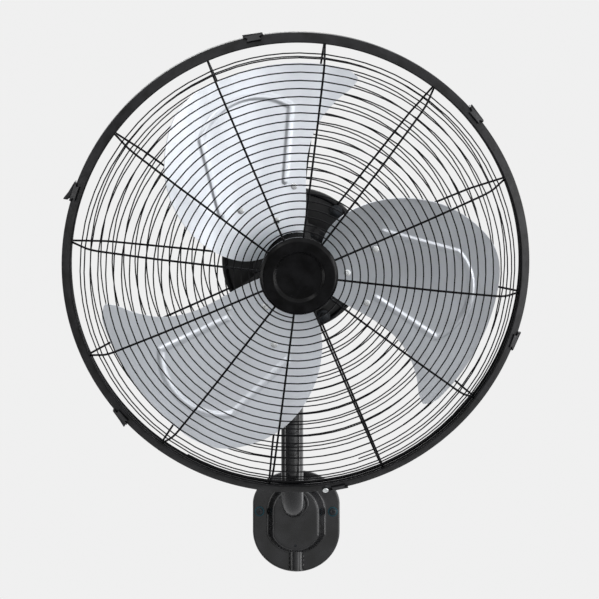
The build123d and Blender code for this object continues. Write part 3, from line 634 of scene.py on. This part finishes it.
# ------------------------------------------------------------------ band, clips and cap
class FAN_OT_rim_band(bpy.types.Operator):
    """Make the rolled band with its ears and pins"""
    bl_idname = "fan.rim_band"
    bl_label = "Rim band"

    def execute(self, context):
        t = 2.0
        rear_r, front_r = RIM_R - 9.0, RIM_R - RIM_LIP
        nx, nw = t * sin(SLOPE), t * cos(SLOPE)
        knee = RIM_WEB - t * tan((pi / 2 - SLOPE) / 2)
        profile = [(rear_r, RIM_REAR), (RIM_R, RIM_REAR), (RIM_R, RIM_WEB), (front_r, RIM_FRONT),
                   (front_r - nx, RIM_FRONT - nw), (RIM_R - t, knee), (RIM_R - t, RIM_REAR + t),
                   (rear_r, RIM_REAR + t)]
        line = rounded(profile, [0.95, 1.6, 1.8, 0.95, 0.95, 0.8, 0.6, 0.95], 5, close=True)
        pivot_r, pivot_w = RIM_R - 1.6, RIM_REAR - 2.6
        ear = rounded([(-1.7, 2.4), (1.7, 2.4), (1.7, -2.2), (-1.7, -2.2)], [0.1, 0.1, 1.5, 1.5], 5, True)
        steps = ((-1.5, 0.0), (-1.5, 0.9), (-1.2, 1.0), (1.2, 1.0), (1.5, 0.9), (1.5, 0.0))
        hinge = [layers(ear, 0, steps, lambda u, v, h, z=z: (pivot_r - 0.4 + u, -(pivot_w + v), z + h))
                 for z in (-8.7, 8.7)]
        pin = np.array([[pivot_r, -pivot_w, z] for z in (-11.2, -10.8, 10.8, 11.2)])
        hinge.append(swept(pin, [0.7, 0.97, 0.97, 0.7], 16))
        band = joined([closed_lathe(line, 360), wheel(joined(hinge), len(CLIPS), CLIP_ANGLE)])
        put("rolled_band", *band, "head", rim_black(), ("rim_band",))
        out_r, out_w = sin(0.6 * SLOPE), cos(0.6 * SLOPE)
        r, w = RIM_R - 3.6, RIM_WEB + 3.6 * tan(SLOPE)
        turn = np.array([[out_w, -out_r, 0], [out_r, out_w, 0], [0, 0, 1.0]])
        seat = rounded([(0, -5.0), (4.2, -5.0), (4.2, 1.4), (0, 1.4)], [0, 0.4, 0.6, 0], 3)
        lug = moved(lathe(seat, 40), (r, -w, 0), turn)
        put("band_lug", turned_to(lug[0], SCREW_ANGLE), lug[1], "head", rim_black())
        head = moved(screw(7.6, 3.2, True, 48, 14), (r + 1.4 * out_r, -w - 1.4 * out_w, 0), turn)
        put("band_screw", turned_to(head[0], SCREW_ANGLE), head[1], "head", bright_zinc())
        return {"FINISHED"}


def lever(angle, flare):
    """Snap lever on a clip: a folded strip, slanted at its ends, that stands off towards its free end.

    Its outline along the band is the same at each depth: flush at one end and flare higher at the other.
    """
    skin = RIM_R + 1.7
    outline = rounded([(skin, -12.4), (skin + 1.0, -11.0), (skin + 1.2 + 0.45 * flare, 3.0),
                       (skin + 1.2 + flare, 12.8), (skin + 0.35 * flare, 12.0), (skin, 9.0)],
                      [0.1, 0.5, 3.0, 0.5, 1.0, 0.5], 4, close=True)
    steps = ((-4.6, 0.0), (-4.6, 0.93), (-4.3, 1.0), (0.5, 1.0), (0.8, 0.93), (0.8, 0.0))
    points, faces = layers(outline, outline.mean(0), steps, lambda r, z, w: (r, -w, z))
    return turned_to(points, angle), faces


class FAN_OT_clips(bpy.types.Operator):
    """Make the six latches and their snap levers"""
    bl_idname = "fan.clips"
    bl_label = "Clips"

    def execute(self, context):
        for k, angle in enumerate(CLIPS):
            body = f"clip_latch_{k + 1}"
            dressed(f"clip_{k + 1}", f"bent_clip_{k + 1}", body, clip_black(), 0.45, 3)
            if FLARES[k]:
                put(f"clip_lever_{k + 1}", *lever(angle, FLARES[k]), body, clip_black())
        return {"FINISHED"}


class FAN_OT_cap(bpy.types.Operator):
    """Make the moulded cap and the plate behind it"""
    bl_idname = "fan.cap"
    bl_label = "Cap"

    def execute(self, context):
        back = CROWN_W + 1.22
        r, hole, front = 47.0, 27.5, 64.0
        profile = rounded([(0, back), (r, back), (r, front - 4), (r - 4, front), (hole + 3.5, front),
                           (hole, front - 3.5), (0, front - 3.5)], [0, 0.6, 2.2, 2.2, 1.4, 1.2, 0], 6)
        profile[-1] = (0, front - 3.2)
        put("moulded_cap", *lathe(profile, 180), "head", cap_plastic(), ("front_cap",))
        high = CROWN_W - 1.17 - 0.1 - 4 - 0.1
        plate = rounded([(0, high - 1.5), (44, high - 1.5), (44, high), (0, high)], [0, 0.5, 0.5, 0], 3)
        put("cap_plate", *lathe(plate, 96), "head", zinc(), ("cap_backing",))
        heads = [moved(moved(screw(7.0, 2.4, True), turn=TO_REAR), polar(30.0, 90 + 120 * k, high - 1.5))
                 for k in range(3)]
        put("cap_screws", *joined(heads), "head", zinc())
        return {"FINISHED"}


# ------------------------------------------------------------------ rotor
def blade_depth(x, z):
    """Distance w of the blades' front faces over a point of their planform.

    The sheet is part of a wide tube: the point's run across the bending line and its depth m
    satisfy the tube's circle, and m is the nearer root of that quadratic.
    """
    across = x * sin(radians(LEAN)) + z * cos(radians(LEAN))
    c, s = cos(radians(PITCH)), sin(radians(PITCH))
    p, q = across * c - 8.5, -across * s - (CAMBER_R - 10.0)
    half_b = p * s + q * c
    return 6.0 - half_b - np.sqrt(half_b ** 2 - (p ** 2 + q ** 2 - CAMBER_R ** 2))


def spline(points, count):
    """Smooth curve through a few points: cubic pieces whose slopes follow their neighbours."""
    p = np.asarray(points, float)
    knots = np.concatenate([[0], np.cumsum(np.linalg.norm(np.diff(p, axis=0), axis=1))])
    slope = np.gradient(p, knots, axis=0, edge_order=2)
    t = np.linspace(0, knots[-1], count)
    k = np.clip(np.searchsorted(knots, t, side="right") - 1, 0, len(p) - 2)
    h = (knots[k + 1] - knots[k])[:, None]
    u = ((t - knots[k])[:, None]) / h
    return ((2 * u ** 3 - 3 * u ** 2 + 1) * p[k] + (u ** 3 - 2 * u ** 2 + u) * h * slope[k]
            + (-2 * u ** 3 + 3 * u ** 2) * p[k + 1] + (u ** 3 - u ** 2) * h * slope[k + 1])


def plan(*pairs):
    return [(r * cos(radians(a)), r * sin(radians(a))) for r, a in pairs]


def blade_edges(count):
    """Leading and trailing edges from the root to the tip, with the same number of points."""
    lead = spline(plan((42, -41), (75, -38.5), (107, -35.8), (140, -35.4), (176, -38.3), (206, -43),
                       (232, -47.4), (238.5, -47.8), (243.5, -46.2), (247, -42)), count)
    trail = spline(plan((42, 44), (62, 52), (86, 50.5), (118, 44.3), (156, 35.3), (193, 25.2),
                        (221, 15.5), (240, 7), (247, -5)), count)
    return lead, trail


def distance_to(line, x, z):
    """Least distance from each point to a polyline of a few dozen straight lengths."""
    a, b = line[:-1], line[1:]
    ab = b - a
    px, pz = x[..., None] - a[:, 0], z[..., None] - a[:, 1]
    u = np.clip((px * ab[:, 0] + pz * ab[:, 1]) / (ab ** 2).sum(1), 0, 1)
    return np.hypot(px - u * ab[:, 0], pz - u * ab[:, 1]).min(-1)


def bead_line():
    """Pressed rib: two legs from the root joined by a round arch short of the tip."""
    left, top_left, crest, top_right, right = np.array(plan((114, 24), (196, 6.5), (216, -12), (196, -27.5),
                                                            (106, -22)))
    return np.vstack([[left], arc_through(top_left, crest, top_right, 28), [right]])


def fold(x, z):
    """Depth that the strip along the leading edge gains past its crease, fading out over the arms.

    Past the crease the sheet leaves its plane by a small angle, so the depth is the distance to
    the crease times that angle's tangent, rounded over the first millimetres.
    """
    crease = spline(plan((96, -21), (110, -24.3), (140, -29.5), (172, -33), (205, -34), (250, -36.3)), 40)
    r, angle = np.hypot(x, z), np.degrees(np.arctan2(z, x))
    past = np.interp(r, np.hypot(*crease.T), np.degrees(np.arctan2(crease[:, 1], crease[:, 0]))) > angle
    d = distance_to(crease, x, z) * past
    share = np.clip((r - 104) / 40, 0, 1)
    return sizes().fold * share * (np.sqrt(d * d + 1.0) - 1.0)


def arc_through(a, b, c, count):
    """Points of the circle through three points, from the first to the last."""
    m = np.array([b - a, c - a])
    centre = np.linalg.solve(m, ((m ** 2).sum(1) / 2)) + a
    r = np.linalg.norm(a - centre)
    angle = [atan2(*(p - centre)[::-1]) for p in (a, b, c)]
    turn = (angle[2] - angle[0]) % (2 * pi)
    if not 0 < (angle[1] - angle[0]) % (2 * pi) < turn:
        turn -= 2 * pi
    t = angle[0] + turn * np.linspace(0, 1, count)
    return centre + r * np.stack([np.cos(t), np.sin(t)], -1)


def blade_mesh():
    """Stamped blade: a grid between its two edges on the bent sheet, raised along the beads.

    The front face is the sheet plus a rounded ridge over each pressed line, the back face is
    the same grid one thickness behind, and a rolled edge joins them.
    """
    rows, columns = 170, 150
    lead, trail = blade_edges(rows)
    v = np.linspace(0, 1, columns)
    v = v - 0.02 * np.sin(2 * pi * v)
    r_mix = (np.linalg.norm(trail, axis=1)[:, None] * (1 - v) + np.linalg.norm(lead, axis=1)[:, None] * v)
    angle_t = np.unwrap(np.arctan2(trail[:, 1], trail[:, 0]))
    angle_l = np.unwrap(np.arctan2(lead[:, 1], lead[:, 0]))
    bend = angle_t[:, None] * (1 - v) + angle_l[:, None] * v
    x, z = r_mix * np.cos(bend), r_mix * np.sin(bend)
    d = distance_to(bead_line(), x, z)
    u = np.clip((d - 1.4) / 3.0, 0, 1)
    relief = sizes().bead / MM * (1 - u * u * (3 - 2 * u))
    w = blade_depth(x, z) + relief + fold(x, z)
    thick = sizes().sheet / MM
    front = np.stack([x, -w, z], -1)
    du, dv = np.gradient(front, axis=0), np.gradient(front, axis=1)
    normal = np.cross(du, dv)
    normal /= np.linalg.norm(normal, axis=-1)[..., None]
    normal *= np.sign(-normal[..., 1])[..., None]
    back = front - normal * thick
    grid = np.vstack([front.reshape(-1, 3), back.reshape(-1, 3)])
    n = rows * columns
    top = quads(rows, columns, ring=False)
    faces = top + [[a + n for a in face[::-1]] for face in top]
    index = np.arange(n).reshape(rows, columns)
    edge = np.concatenate([index[0, :], index[1:, -1], index[-1, -2::-1], index[-2:0:-1, 0]])
    after = np.roll(edge, -1)
    faces += np.stack([edge, edge + n, after + n, after], -1).tolist()
    return grid, faces


class FAN_OT_blades(bpy.types.Operator):
    """Make the three stamped blades"""
    bl_idname = "fan.blades"
    bl_label = "Blades"

    def execute(self, context):
        points, faces = blade_mesh()
        for k in range(BLADES):
            obj = put(f"stamped_blade_{k + 1}", turned_to(points, 120 * k), faces, "rotor", aluminium(),
                      (f"blade_{k + 1}",), sharp=50)
            bevelled(obj, 0.4, 2, 60)
            obj.data.shade_smooth()
        return {"FINISHED"}


class FAN_OT_hub(bpy.types.Operator):
    """Make the hub with its arms, the rivets and the shaft"""
    bl_idname = "fan.hub"
    bl_label = "Hub"

    def execute(self, context):
        profile = rounded([(6.05, -20), (53, -20), (53, -16), (36, -16), (36, 9), (6.05, 9)],
                          [0.4, 1.6, 1.6, 2.5, 2.2, 0.5], 5, close=True)
        put("hub", *closed_lathe(profile, 144), "rotor", hub_black(), ("hub_spider",))
        outline = rounded(plan((33, ARM_ANGLE + 58), (105, ARM_ANGLE + 26), (110, ARM_ANGLE + 18),
                               (110, ARM_ANGLE - 18), (105, ARM_ANGLE - 26), (33, ARM_ANGLE - 58)),
                          [4, 9, 9, 9, 9, 4], 5, close=True)
        put("hub_arms", *wheel(arm_mesh(outline), BLADES), "rotor", hub_black(), sharp=60)
        rivets = []
        head = sizes().rivet / MM
        for r, a in ((62.5, 0.0), (98.5, 21.0), (98.5, -21.0)):
            x, z = r * cos(radians(ARM_ANGLE + a)), r * sin(radians(ARM_ANGLE + a))
            w = float(blade_depth(np.array(x), np.array(z)))
            front = moved(screw(head, 2.2, False, 32, 8), (x, -w + 0.15, z))
            rear = moved(moved(screw(head * 0.9, 1.8, False, 32, 8), turn=TO_REAR), (x, -w + 4.1, z))
            rivets += [front, rear]
        put("blade_rivets", *wheel(joined(rivets), BLADES), "rotor", bright_zinc())
        shaft = rounded([(0, 13), (6, 13), (6, -141), (0, -141)], [0, 1.0, 0.8, 0], 3)
        put("shaft", *lathe(shaft, 64), "rotor", steel(), ("motor_shaft",))
        return {"FINISHED"}


def arm_mesh(outline):
    """Rounded plate behind the blade's root: rings that shrink from its outline to its middle."""
    centre = outline.mean(0)
    rows = [0.0, 0.25, 0.5, 0.75, 0.9, 0.97, 1.0]
    thick, gap = 2.5, 1.55
    grids = []
    for back, order in ((gap, rows), (gap + thick, rows[::-1])):
        for s in order:
            q = centre + (outline - centre) * s
            w = blade_depth(q[:, 0], q[:, 1]) - back
            grids.append(np.stack([q[:, 0], -w, q[:, 1]], -1))
    return np.vstack(grids), quads(len(grids), len(outline))


# ------------------------------------------------------------------ motor and its disc
class FAN_OT_motor(bpy.types.Operator):
    """Make the motor housing, the disc in front of it and their screws"""
    bl_idname = "fan.motor"
    bl_label = "Motor"

    def execute(self, context):
        r, wall = 68.0, 2.5
        front = rounded([(6.05, -37), (26, -37), (26, -47.2), (r, -47.2), (r, -70), (r - wall, -70),
                         (r - wall, -49.7), (6.05, -49.7)], [0.4, 2, 2.5, 6, 0.4, 0.3, 4, 0.3], 6, close=True)
        put("front_bell", *closed_lathe(front, 144), "head", motor_black(),
            ("motor_front_bell",))
        dressed("motor_rear_bell", "rear_bell", "head", motor_black(), 0.8, 3)
        disc = rounded([(26.3, -45), (90, -45), (90, -52), (88, -52), (88, -47), (26.3, -47)],
                       [0.4, 2.6, 0.6, 0.6, 1.0, 0.4], 5, close=True)
        put("carrier_disc", *closed_lathe(disc, 192), "head", motor_black(), ("guard_disc",))
        dressed("guard_bolts", "carrier_bolts", "head", black_oxide(), 0.3, 2)
        heads = [moved(screw(8.0, 2.8, True), polar(43.0, 75 + 90 * k, -45.0)) for k in range(4)]
        put("disc_screws", *joined(heads), "head", zinc())
        rear = [moved(moved(screw(7.5, 2.6, True), turn=TO_REAR), polar(50.0, 45 + 90 * k, -145.0))
                for k in (0, 1)]
        put("housing_screws", *joined(rear), "head", zinc())
        frame_finish("stator", laminations())
        frame_finish("rotor_core", laminations())
        dressed("motor_foot", "foot_channel", "head", motor_black(), 0.5, 3)
        return {"FINISHED"}


def frame_finish(kept_node, material):
    """Give a CAD node that stays its finish."""
    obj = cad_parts[kept_node]
    obj.data.materials.clear()
    obj.data.materials.append(material)


class FAN_OT_switch_box(bpy.types.Operator):
    """Dress the box behind the motor, its lid, knob and cord bush"""
    bl_idname = "fan.switch_box"
    bl_label = "Switch box"

    def execute(self, context):
        dressed("switch_box", "box_shell", "head", box_plastic(), 1.2, 4)
        dressed("switch_lid", "box_lid", "head", box_plastic(), 0.7, 3)
        dressed("speed_knob", "dial", "speed_dial", knob_plastic(), 0.6, 3)
        dressed("cord_gland", "cord_bush", "head", rubber(), 0.5, 3)
        frame_finish("rotary_switch", box_plastic())
        heads = [moved(moved(screw(6.0, 2.0, True), turn=TO_REAR), (x, 172.45, z))
                 for x in (-28.0, 28.0) for z in (6.0, -44.0)]
        put("lid_screws", *joined(heads), "head", zinc())
        return {"FINISHED"}


# ------------------------------------------------------------------ swivel, tube and plate
class FAN_OT_swivel(bpy.types.Operator):
    """Dress the yoke, the clamp, their bolts and the hand knobs"""
    bl_idname = "fan.swivel"
    bl_label = "Swivel"

    def execute(self, context):
        dressed("tilt_yoke", "yoke", "swivel", gloss_black(), 0.7, 3)
        dressed("tilt_bolt", "yoke_bolt", "swivel", zinc(), 0.4, 2)
        dressed("tilt_knob", "yoke_knob", "tilt_hand_knob", knob_plastic(), 0.8, 3)
        dressed("clamp_collar", "split_clamp", "bracket", gloss_black(), 0.5, 3)
        dressed("clamp_screw", "square_screw", "bracket", zinc(), 0.4, 2)
        dressed("clamp_knob", "clamp_grip", "clamp_hand_knob", knob_plastic(), 0.8, 3)
        dressed("tube_bush", "bush", "bracket", nylon(), 0.3, 2)
        return {"FINISHED"}


class FAN_OT_tube(bpy.types.Operator):
    """Make the smooth elbow tube, its slot and its collar"""
    bl_idname = "fan.tube"
    bl_label = "Tube"

    def execute(self, context):
        r, wall, bend, stand, height, top = 14.0, 2.0, 42.0, 110.0, 12.0, 214.0
        a = np.linspace(0, pi / 2, 40)
        level = np.array([[0, -21.0, height], [0, -40.0, height]])
        curve = np.stack([0 * a, -(stand - bend) - bend * np.sin(a), height + bend - bend * np.cos(a)], -1)
        z = np.linspace(height + bend + 6, top - 0.8, 30)
        upright = np.stack([0 * z, 0 * z - stand, z], -1)
        lip = np.array([[0, -stand, top - 0.25], [0, -stand, top]])
        path = np.vstack([level, curve, upright, lip])
        outer = np.concatenate([np.full(len(path) - 2, r), [r - 0.2, r - 0.7]])
        down = np.array([[0, -stand, top], [0, -stand, top - 0.6], [0, -stand, height + bend + 4]])
        inner = np.array([r - wall + 0.5, r - wall, r - wall])
        full = np.vstack([path, down])
        ahead = np.gradient(path, axis=0)
        ahead /= np.linalg.norm(ahead, axis=1)[:, None]
        ahead = np.vstack([ahead, np.broadcast_to([0, 0, 1.0], (3, 3))])
        side = np.broadcast_to([1.0, 0, 0], full.shape)
        up = np.cross(ahead, side)
        t = np.linspace(0, 2 * pi, 96, endpoint=False)
        radius = np.concatenate([outer, inner])[:, None, None]
        ring = side[:, None] * np.cos(t)[None, :, None] + up[:, None] * np.sin(t)[None, :, None]
        shape = capped(full[:, None] + radius * ring, full)
        tube = put("elbow_tube", *shape, "bracket", gloss_black(), ("neck_tube",))
        cut(tube, [box_mesh((-1.5, -stand + 2, top - 30), (1.5, -stand + 20, top + 5))], 40)
        collar = rounded([(14.05, 26.05), (17.5, 26.05), (17.5, 31.05), (14.05, 31.05)],
                         [0.2, 0.4, 1.2, 0.8], 5, close=True)
        collar = moved(closed_lathe(collar, 96), (0, 0, height))
        put("tube_collar", *collar, "bracket", gloss_black(), ("tube_flange",))
        back = rounded([(-18, -32), (18, -32), (18, 18), (-18, 18)], 3.0, 5, close=True)
        steps = ((23.95, 0.0), (23.95, 0.99), (23.6, 1.0), (21.3, 1.0), (20.95, 0.99), (20.95, 0.0))
        backing = layers(back, np.array([0.0, -7.0]), steps, lambda x, z, y: (x, -y, z))
        put("tube_backing", *backing, "bracket", gloss_black())
        return {"FINISHED"}


def box_mesh(low, high):
    """Plain box for cutting, in millimetres."""
    x, y, z = [np.array([a, b]) * MM for a, b in zip(low, high)]
    points = [(i, j, k) for i in x for j in y for k in z]
    faces = [(0, 1, 3, 2), (4, 6, 7, 5), (0, 4, 5, 1), (2, 3, 7, 6), (0, 2, 6, 4), (1, 5, 7, 3)]
    mesh = bpy.data.meshes.new("box")
    mesh.from_pydata(points, [], faces)
    return mesh


def outline_radius(points, angles):
    """Distance from the middle to a closed star-shaped outline at each angle."""
    p = np.asarray(points, float)
    a = np.arctan2(p[:, 1], p[:, 0]) % (2 * pi)
    order = np.argsort(a)
    a, p = a[order], p[order]
    x = np.interp(angles, np.concatenate([a[-1:] - 2 * pi, a, a[:1] + 2 * pi]),
                  np.concatenate([p[-1:, 0], p[:, 0], p[:1, 0]]))
    z = np.interp(angles, np.concatenate([a[-1:] - 2 * pi, a, a[:1] + 2 * pi]),
                  np.concatenate([p[-1:, 1], p[:, 1], p[:1, 1]]))
    return np.hypot(x, z)


def plate_edge(count=720):
    t = np.linspace(0, pi, count // 2)
    upper = np.stack([57 * np.cos(t), 10 + 44 * np.sin(t)], -1)
    lower = np.stack([-57 * np.cos(t), -25 - 54 * np.sin(t)], -1)
    sides = np.linspace(10, -25, 60)[1:-1]
    left = np.stack([0 * sides - 57, sides], -1)
    right = np.stack([0 * sides + 57, sides[::-1]], -1)
    return np.vstack([upper, left, lower, right])


def boss_edge(width):
    half, lift = width / 2, (75.0 - width) / 2
    shoulder, knee = 0.5, -30.0
    point = -54.0 + lift * 0.6
    low = knee * 0.36 + point * 0.64
    t = np.linspace(0, pi, 200)
    top = np.stack([half * np.cos(t), shoulder + half * np.sin(t)], -1)
    left = np.stack([np.full(30, -half), np.linspace(shoulder, knee, 32)[1:-1]], -1)
    waist, tip = half * 0.68, (0.0, point)
    lower_left = arc_through(*np.array([(-half, knee), (-waist, low), tip]), 60)
    lower_right = arc_through(*np.array([tip, (waist, low), (half, knee)]), 60)
    right = np.stack([np.full(30, half), np.linspace(knee, shoulder, 32)[1:-1]], -1)
    return np.vstack([top, left, lower_left, lower_right[1:], right])


def plate_surface(inset):
    """Face of the pressing as rings about its middle: rim, flange, slope of the boss and its top.

    Each ring is the outline of the plate or of the boss at one depth, so the corners are
    rounded by rings between them, and the cord passage is a half round that rises from the flange.
    """
    a = np.linspace(0, 2 * pi, 480, endpoint=False)
    edge = outline_radius(plate_edge(), a) - inset
    foot = outline_radius(boss_edge(75.0), a) - inset
    top = outline_radius(boss_edge(59.0), a) - inset
    skirt, boss = 8.0 - inset, 26.0 - inset
    rings = [(edge, np.full_like(a, w)) for w in (0.0, skirt * 0.5, skirt - 2.4)]
    for t in np.linspace(0.15, 1, 7) * pi / 2:
        rings.append((edge - 2.4 * (1 - np.cos(t)), np.full_like(a, skirt - 2.4 + 2.4 * np.sin(t))))
    inner = edge - 2.4
    for s in np.linspace(0, 1, 26)[1:]:
        rings.append((inner + (foot + 2.2 - inner) * s, np.full_like(a, skirt)))
    rise, turn = boss - skirt, np.linspace(0, 1, 8)[1:]
    for s in turn:
        low = foot + (top - foot) * 0.12
        r = (1 - s) ** 2 * (foot + 2.2) + 2 * s * (1 - s) * foot + s * s * low
        rings.append((r, np.full_like(a, skirt + rise * 0.12 * s * s)))
    for s in np.linspace(0, 1, 18)[3:15]:
        rings.append((foot + (top - foot) * s, np.full_like(a, skirt + rise * s)))
    for s in turn:
        high = foot + (top - foot) * 0.85
        r = (1 - s) ** 2 * high + 2 * s * (1 - s) * top + s * s * (top - 2.6)
        rings.append((r, np.full_like(a, boss - (1 - s) ** 2 * rise * 0.15)))
    for s in np.linspace(1, 0, 14)[1:]:
        rings.append(((top - 2.6) * s, np.full_like(a, boss)))
    r = np.array([q[0] for q in rings])
    w = np.array([q[1] for q in rings])
    x, z = r * np.cos(a), r * np.sin(a)
    half = 9.5 - inset
    ridge = skirt - 1.5 + np.sqrt(np.clip(half ** 2 - x ** 2, 0, None))
    mouth = np.clip((z - (-77.5 + inset)) / 0.6, 0, 1)
    ridge = np.where((np.abs(x) < half) & (z < -30) & (w > 2), ridge * mouth + w * (1 - mouth), -1)
    k = 1.2
    h = np.clip(0.5 + 0.5 * (ridge - w) / k, 0, 1)
    w = np.where(ridge > 0, w * (1 - h) + ridge * h + k * h * (1 - h), w)
    return np.stack([x, -w, z], -1)


class FAN_OT_wall_plate(bpy.types.Operator):
    """Make the pressed wall plate with its screws and washers"""
    bl_idname = "fan.wall_plate"
    bl_label = "Wall plate"

    def execute(self, context):
        outside, inside = plate_surface(0.0), plate_surface(2.0)[::-1]
        grid = np.vstack([outside.reshape(-1, 3), inside.reshape(-1, 3)])
        rows = outside.shape[0] + inside.shape[0]
        faces = quads(rows, 480, loop=True)
        plate = put("pressed_plate", grid, faces, "bracket", gloss_black(), ("wall_plate",),
                    sharp=50)
        drills = []
        for x, z, r, deep in ((-48, 0, 3.25, 20), (48, 0, 3.25, 20), (0, -43, 1.75, 60), (0, 12, 14.1, 60)):
            points, faces = lathe([(0, -5), (r, -5), (r, deep), (0, deep)], 48)
            mesh = bpy.data.meshes.new("drill")
            mesh.from_pydata(((np.asarray(points) + [x, 0, z]) * MM).tolist(), [], faces)
            drills.append(cleaned(mesh, 1e-7))
        cut(plate, drills, 50)
        insert = rounded([(0, 20.6), (3.6, 20.6), (3.6, 23.9), (0, 23.9)], [0, 0.4, 0.3, 0], 3)
        insert = moved(lathe(insert, 40), (0, 0, -43))
        put("plate_insert", *insert, "bracket", black_oxide(), slot="black_gloss")
        front = 9.5
        screws, washers = [], []
        for side in (-1, 1):
            screws.append(moved(screw(9.6, 2.8, True, 64, 20), (48 * side, -front, 0)))
            shank = rounded([(0, -40), (1.2, -38), (2.4, -34), (2.4, front)], 0.3, 2)
            screws.append(moved(lathe(shank, 24), (48 * side, 0, 0)))
            ring = rounded([(2.8, 8.05), (6.5, 8.05), (6.5, 9.45), (2.8, 9.45)], 0.3, 3, close=True)
            washers.append(moved(closed_lathe(ring, 64), (48 * side, 0, 0)))
        put("pan_screws", *joined(screws), "bracket", black_oxide(), ("wall_screws",))
        put("flat_washers", *joined(washers), "bracket", dark_zinc(), ("wall_washers",))
        return {"FINISHED"}


# ------------------------------------------------------------------ stage
def lamp(name, place, target, size, power, tone=(1, 1, 1)):
    data = bpy.data.lights.new(name, "AREA")
    data.shape, data.size, data.size_y = "RECTANGLE", size[0], size[1]
    data.energy, data.color = power, tone
    obj = bpy.data.objects.new(name, data)
    bpy.context.scene.collection.objects.link(obj)
    obj.location = place
    obj.rotation_euler = (Vector(target) - Vector(place)).to_track_quat("-Z", "Y").to_euler()
    return obj


class FAN_OT_stage(bpy.types.Operator):
    """Set the camera, the lamps, the floor and the paper behind"""
    bl_idname = "fan.stage"
    bl_label = "Stage"

    def execute(self, context):
        scene = bpy.context.scene
        scene.view_settings.view_transform = "Standard"
        paper = tuple(colours().background)
        world = bpy.data.worlds.new("paper")
        scene.world = world
        world.use_nodes = True
        tree = world.node_tree
        tree.nodes.clear()
        link = tree.links.new
        seen = node(tree, "Background", Color=(*paper, 1.0))
        around = node(tree, "Background", Color=(0.90, 0.905, 0.915, 1.0))
        path = node(tree, "LightPath")
        along = node(tree, "VectorMath")
        along.operation = "DOT_PRODUCT"
        along.inputs[1].default_value = (0.9, 0.0, 1.0)
        link(node(tree, "TexCoord").outputs["Generated"], along.inputs[0])
        sky = node(tree, "MapRange", From_Min=-0.80, From_Max=0.60, To_Min=0.20, To_Max=1.54)
        link(along.outputs["Value"], sky.inputs["Value"])
        share = node(tree, "MapRange", To_Min=0.5, To_Max=1.0)
        link(path.outputs["Is Glossy Ray"], share.inputs["Value"])
        level, both = node(tree, "Math"), node(tree, "Math")
        level.operation, both.operation = "MULTIPLY", "MAXIMUM"
        link(sky.outputs[0], level.inputs[0])
        link(share.outputs[0], level.inputs[1])
        link(level.outputs[0], around.inputs["Strength"])
        link(path.outputs["Is Camera Ray"], both.inputs[0])
        link(path.outputs["Is Transmission Ray"], both.inputs[1])
        mix = node(tree, "MixShader")
        link(both.outputs[0], mix.inputs[0])
        link(around.outputs[0], mix.inputs[1])
        link(seen.outputs[0], mix.inputs[2])
        link(mix.outputs[0], node(tree, "OutputWorld").inputs[0])

        floor_points = [(-1.4, -0.7, -0.42), (1.4, -0.7, -0.42), (1.4, 0.7, -0.42), (-1.4, 0.7, -0.42)]
        mesh = bpy.data.meshes.new("floor")
        mesh.from_pydata(floor_points, [], [(0, 1, 2, 3)])
        floor = bpy.data.objects.new("floor", mesh)
        scene.collection.objects.link(floor)
        floor.data.materials.append(finish("floor_paper", (0.62, 0.62, 0.62), (0.8, 0.9), cloud=(2.0, 0.01),
                                           grain=(300.0, 0.02)))

        lamp("key", (-1.3, -2.0, 2.1), (0, -0.2, 0.3), (1.2, 1.2), 13)
        lamp("fill", (1.9, -1.6, 1.0), (0, -0.2, 0.3), (1.4, 1.4), 4.3)
        lamp("right front", (1.6, -2.0, 0.0), (0, -0.2, 0.3), (1.0, 1.0), 4)
        lamp("back", (-0.6, 1.8, 1.6), (0, -0.1, 0.3), (1.4, 1.0), 10)
        lamp("left strip", (-1.5, -0.5, 0.15), (0, -0.1, 0.1), (0.35, 1.6), 5)
        lamp("right strip", (1.5, -0.2, 0.15), (0, -0.1, 0.1), (0.30, 1.6), 6)

        target = Vector((0.0040, 0.0, 0.2778))
        azimuth, distance = radians(2.7), sizes().camera_distance
        data = bpy.data.cameras.new("camera")
        data.lens, data.sensor_width = 137.2, 36.0
        camera = bpy.data.objects.new("camera", data)
        scene.collection.objects.link(camera)
        camera.location = target + distance * Vector((sin(azimuth), -cos(azimuth), 0))
        camera.rotation_euler = (target - camera.location).to_track_quat("-Z", "Y").to_euler()
        scene.camera = camera
        return {"FINISHED"}


STEPS = (FAN_OT_wall_plate, FAN_OT_tube, FAN_OT_swivel, FAN_OT_motor, FAN_OT_switch_box, FAN_OT_rear_guard,
         FAN_OT_front_guard, FAN_OT_rim_band, FAN_OT_clips, FAN_OT_cap, FAN_OT_hub, FAN_OT_blades,
         FAN_OT_stage)


class FAN_PT_panel(bpy.types.Panel):
    """Steps and settings of the fan"""
    bl_idname = "FAN_PT_panel"
    bl_label = "Wall mounted fan"
    bl_space_type = "VIEW_3D"
    bl_region_type = "UI"
    bl_category = "Fan"

    def draw(self, context):
        layout = self.layout
        for step in STEPS:
            layout.operator(step.bl_idname)
        for group in (context.scene.fan_sizes, context.scene.fan_colours):
            box = layout.box()
            for key in group.__annotations__:
                box.prop(group, key)


CLASSES = (FanSizes, FanColours, *STEPS, FAN_PT_panel)


def register():
    for cls in CLASSES:
        bpy.utils.register_class(cls)
    bpy.types.Scene.fan_sizes = bpy.props.PointerProperty(type=FanSizes)
    bpy.types.Scene.fan_colours = bpy.props.PointerProperty(type=FanColours)


def unregister():
    del bpy.types.Scene.fan_colours
    del bpy.types.Scene.fan_sizes
    for cls in reversed(CLASSES):
        bpy.utils.unregister_class(cls)


def main():
    register()
    for step in STEPS:
        getattr(bpy.ops.fan, step.bl_idname.split(".")[1])()


if __name__ == "__main__":
    main()
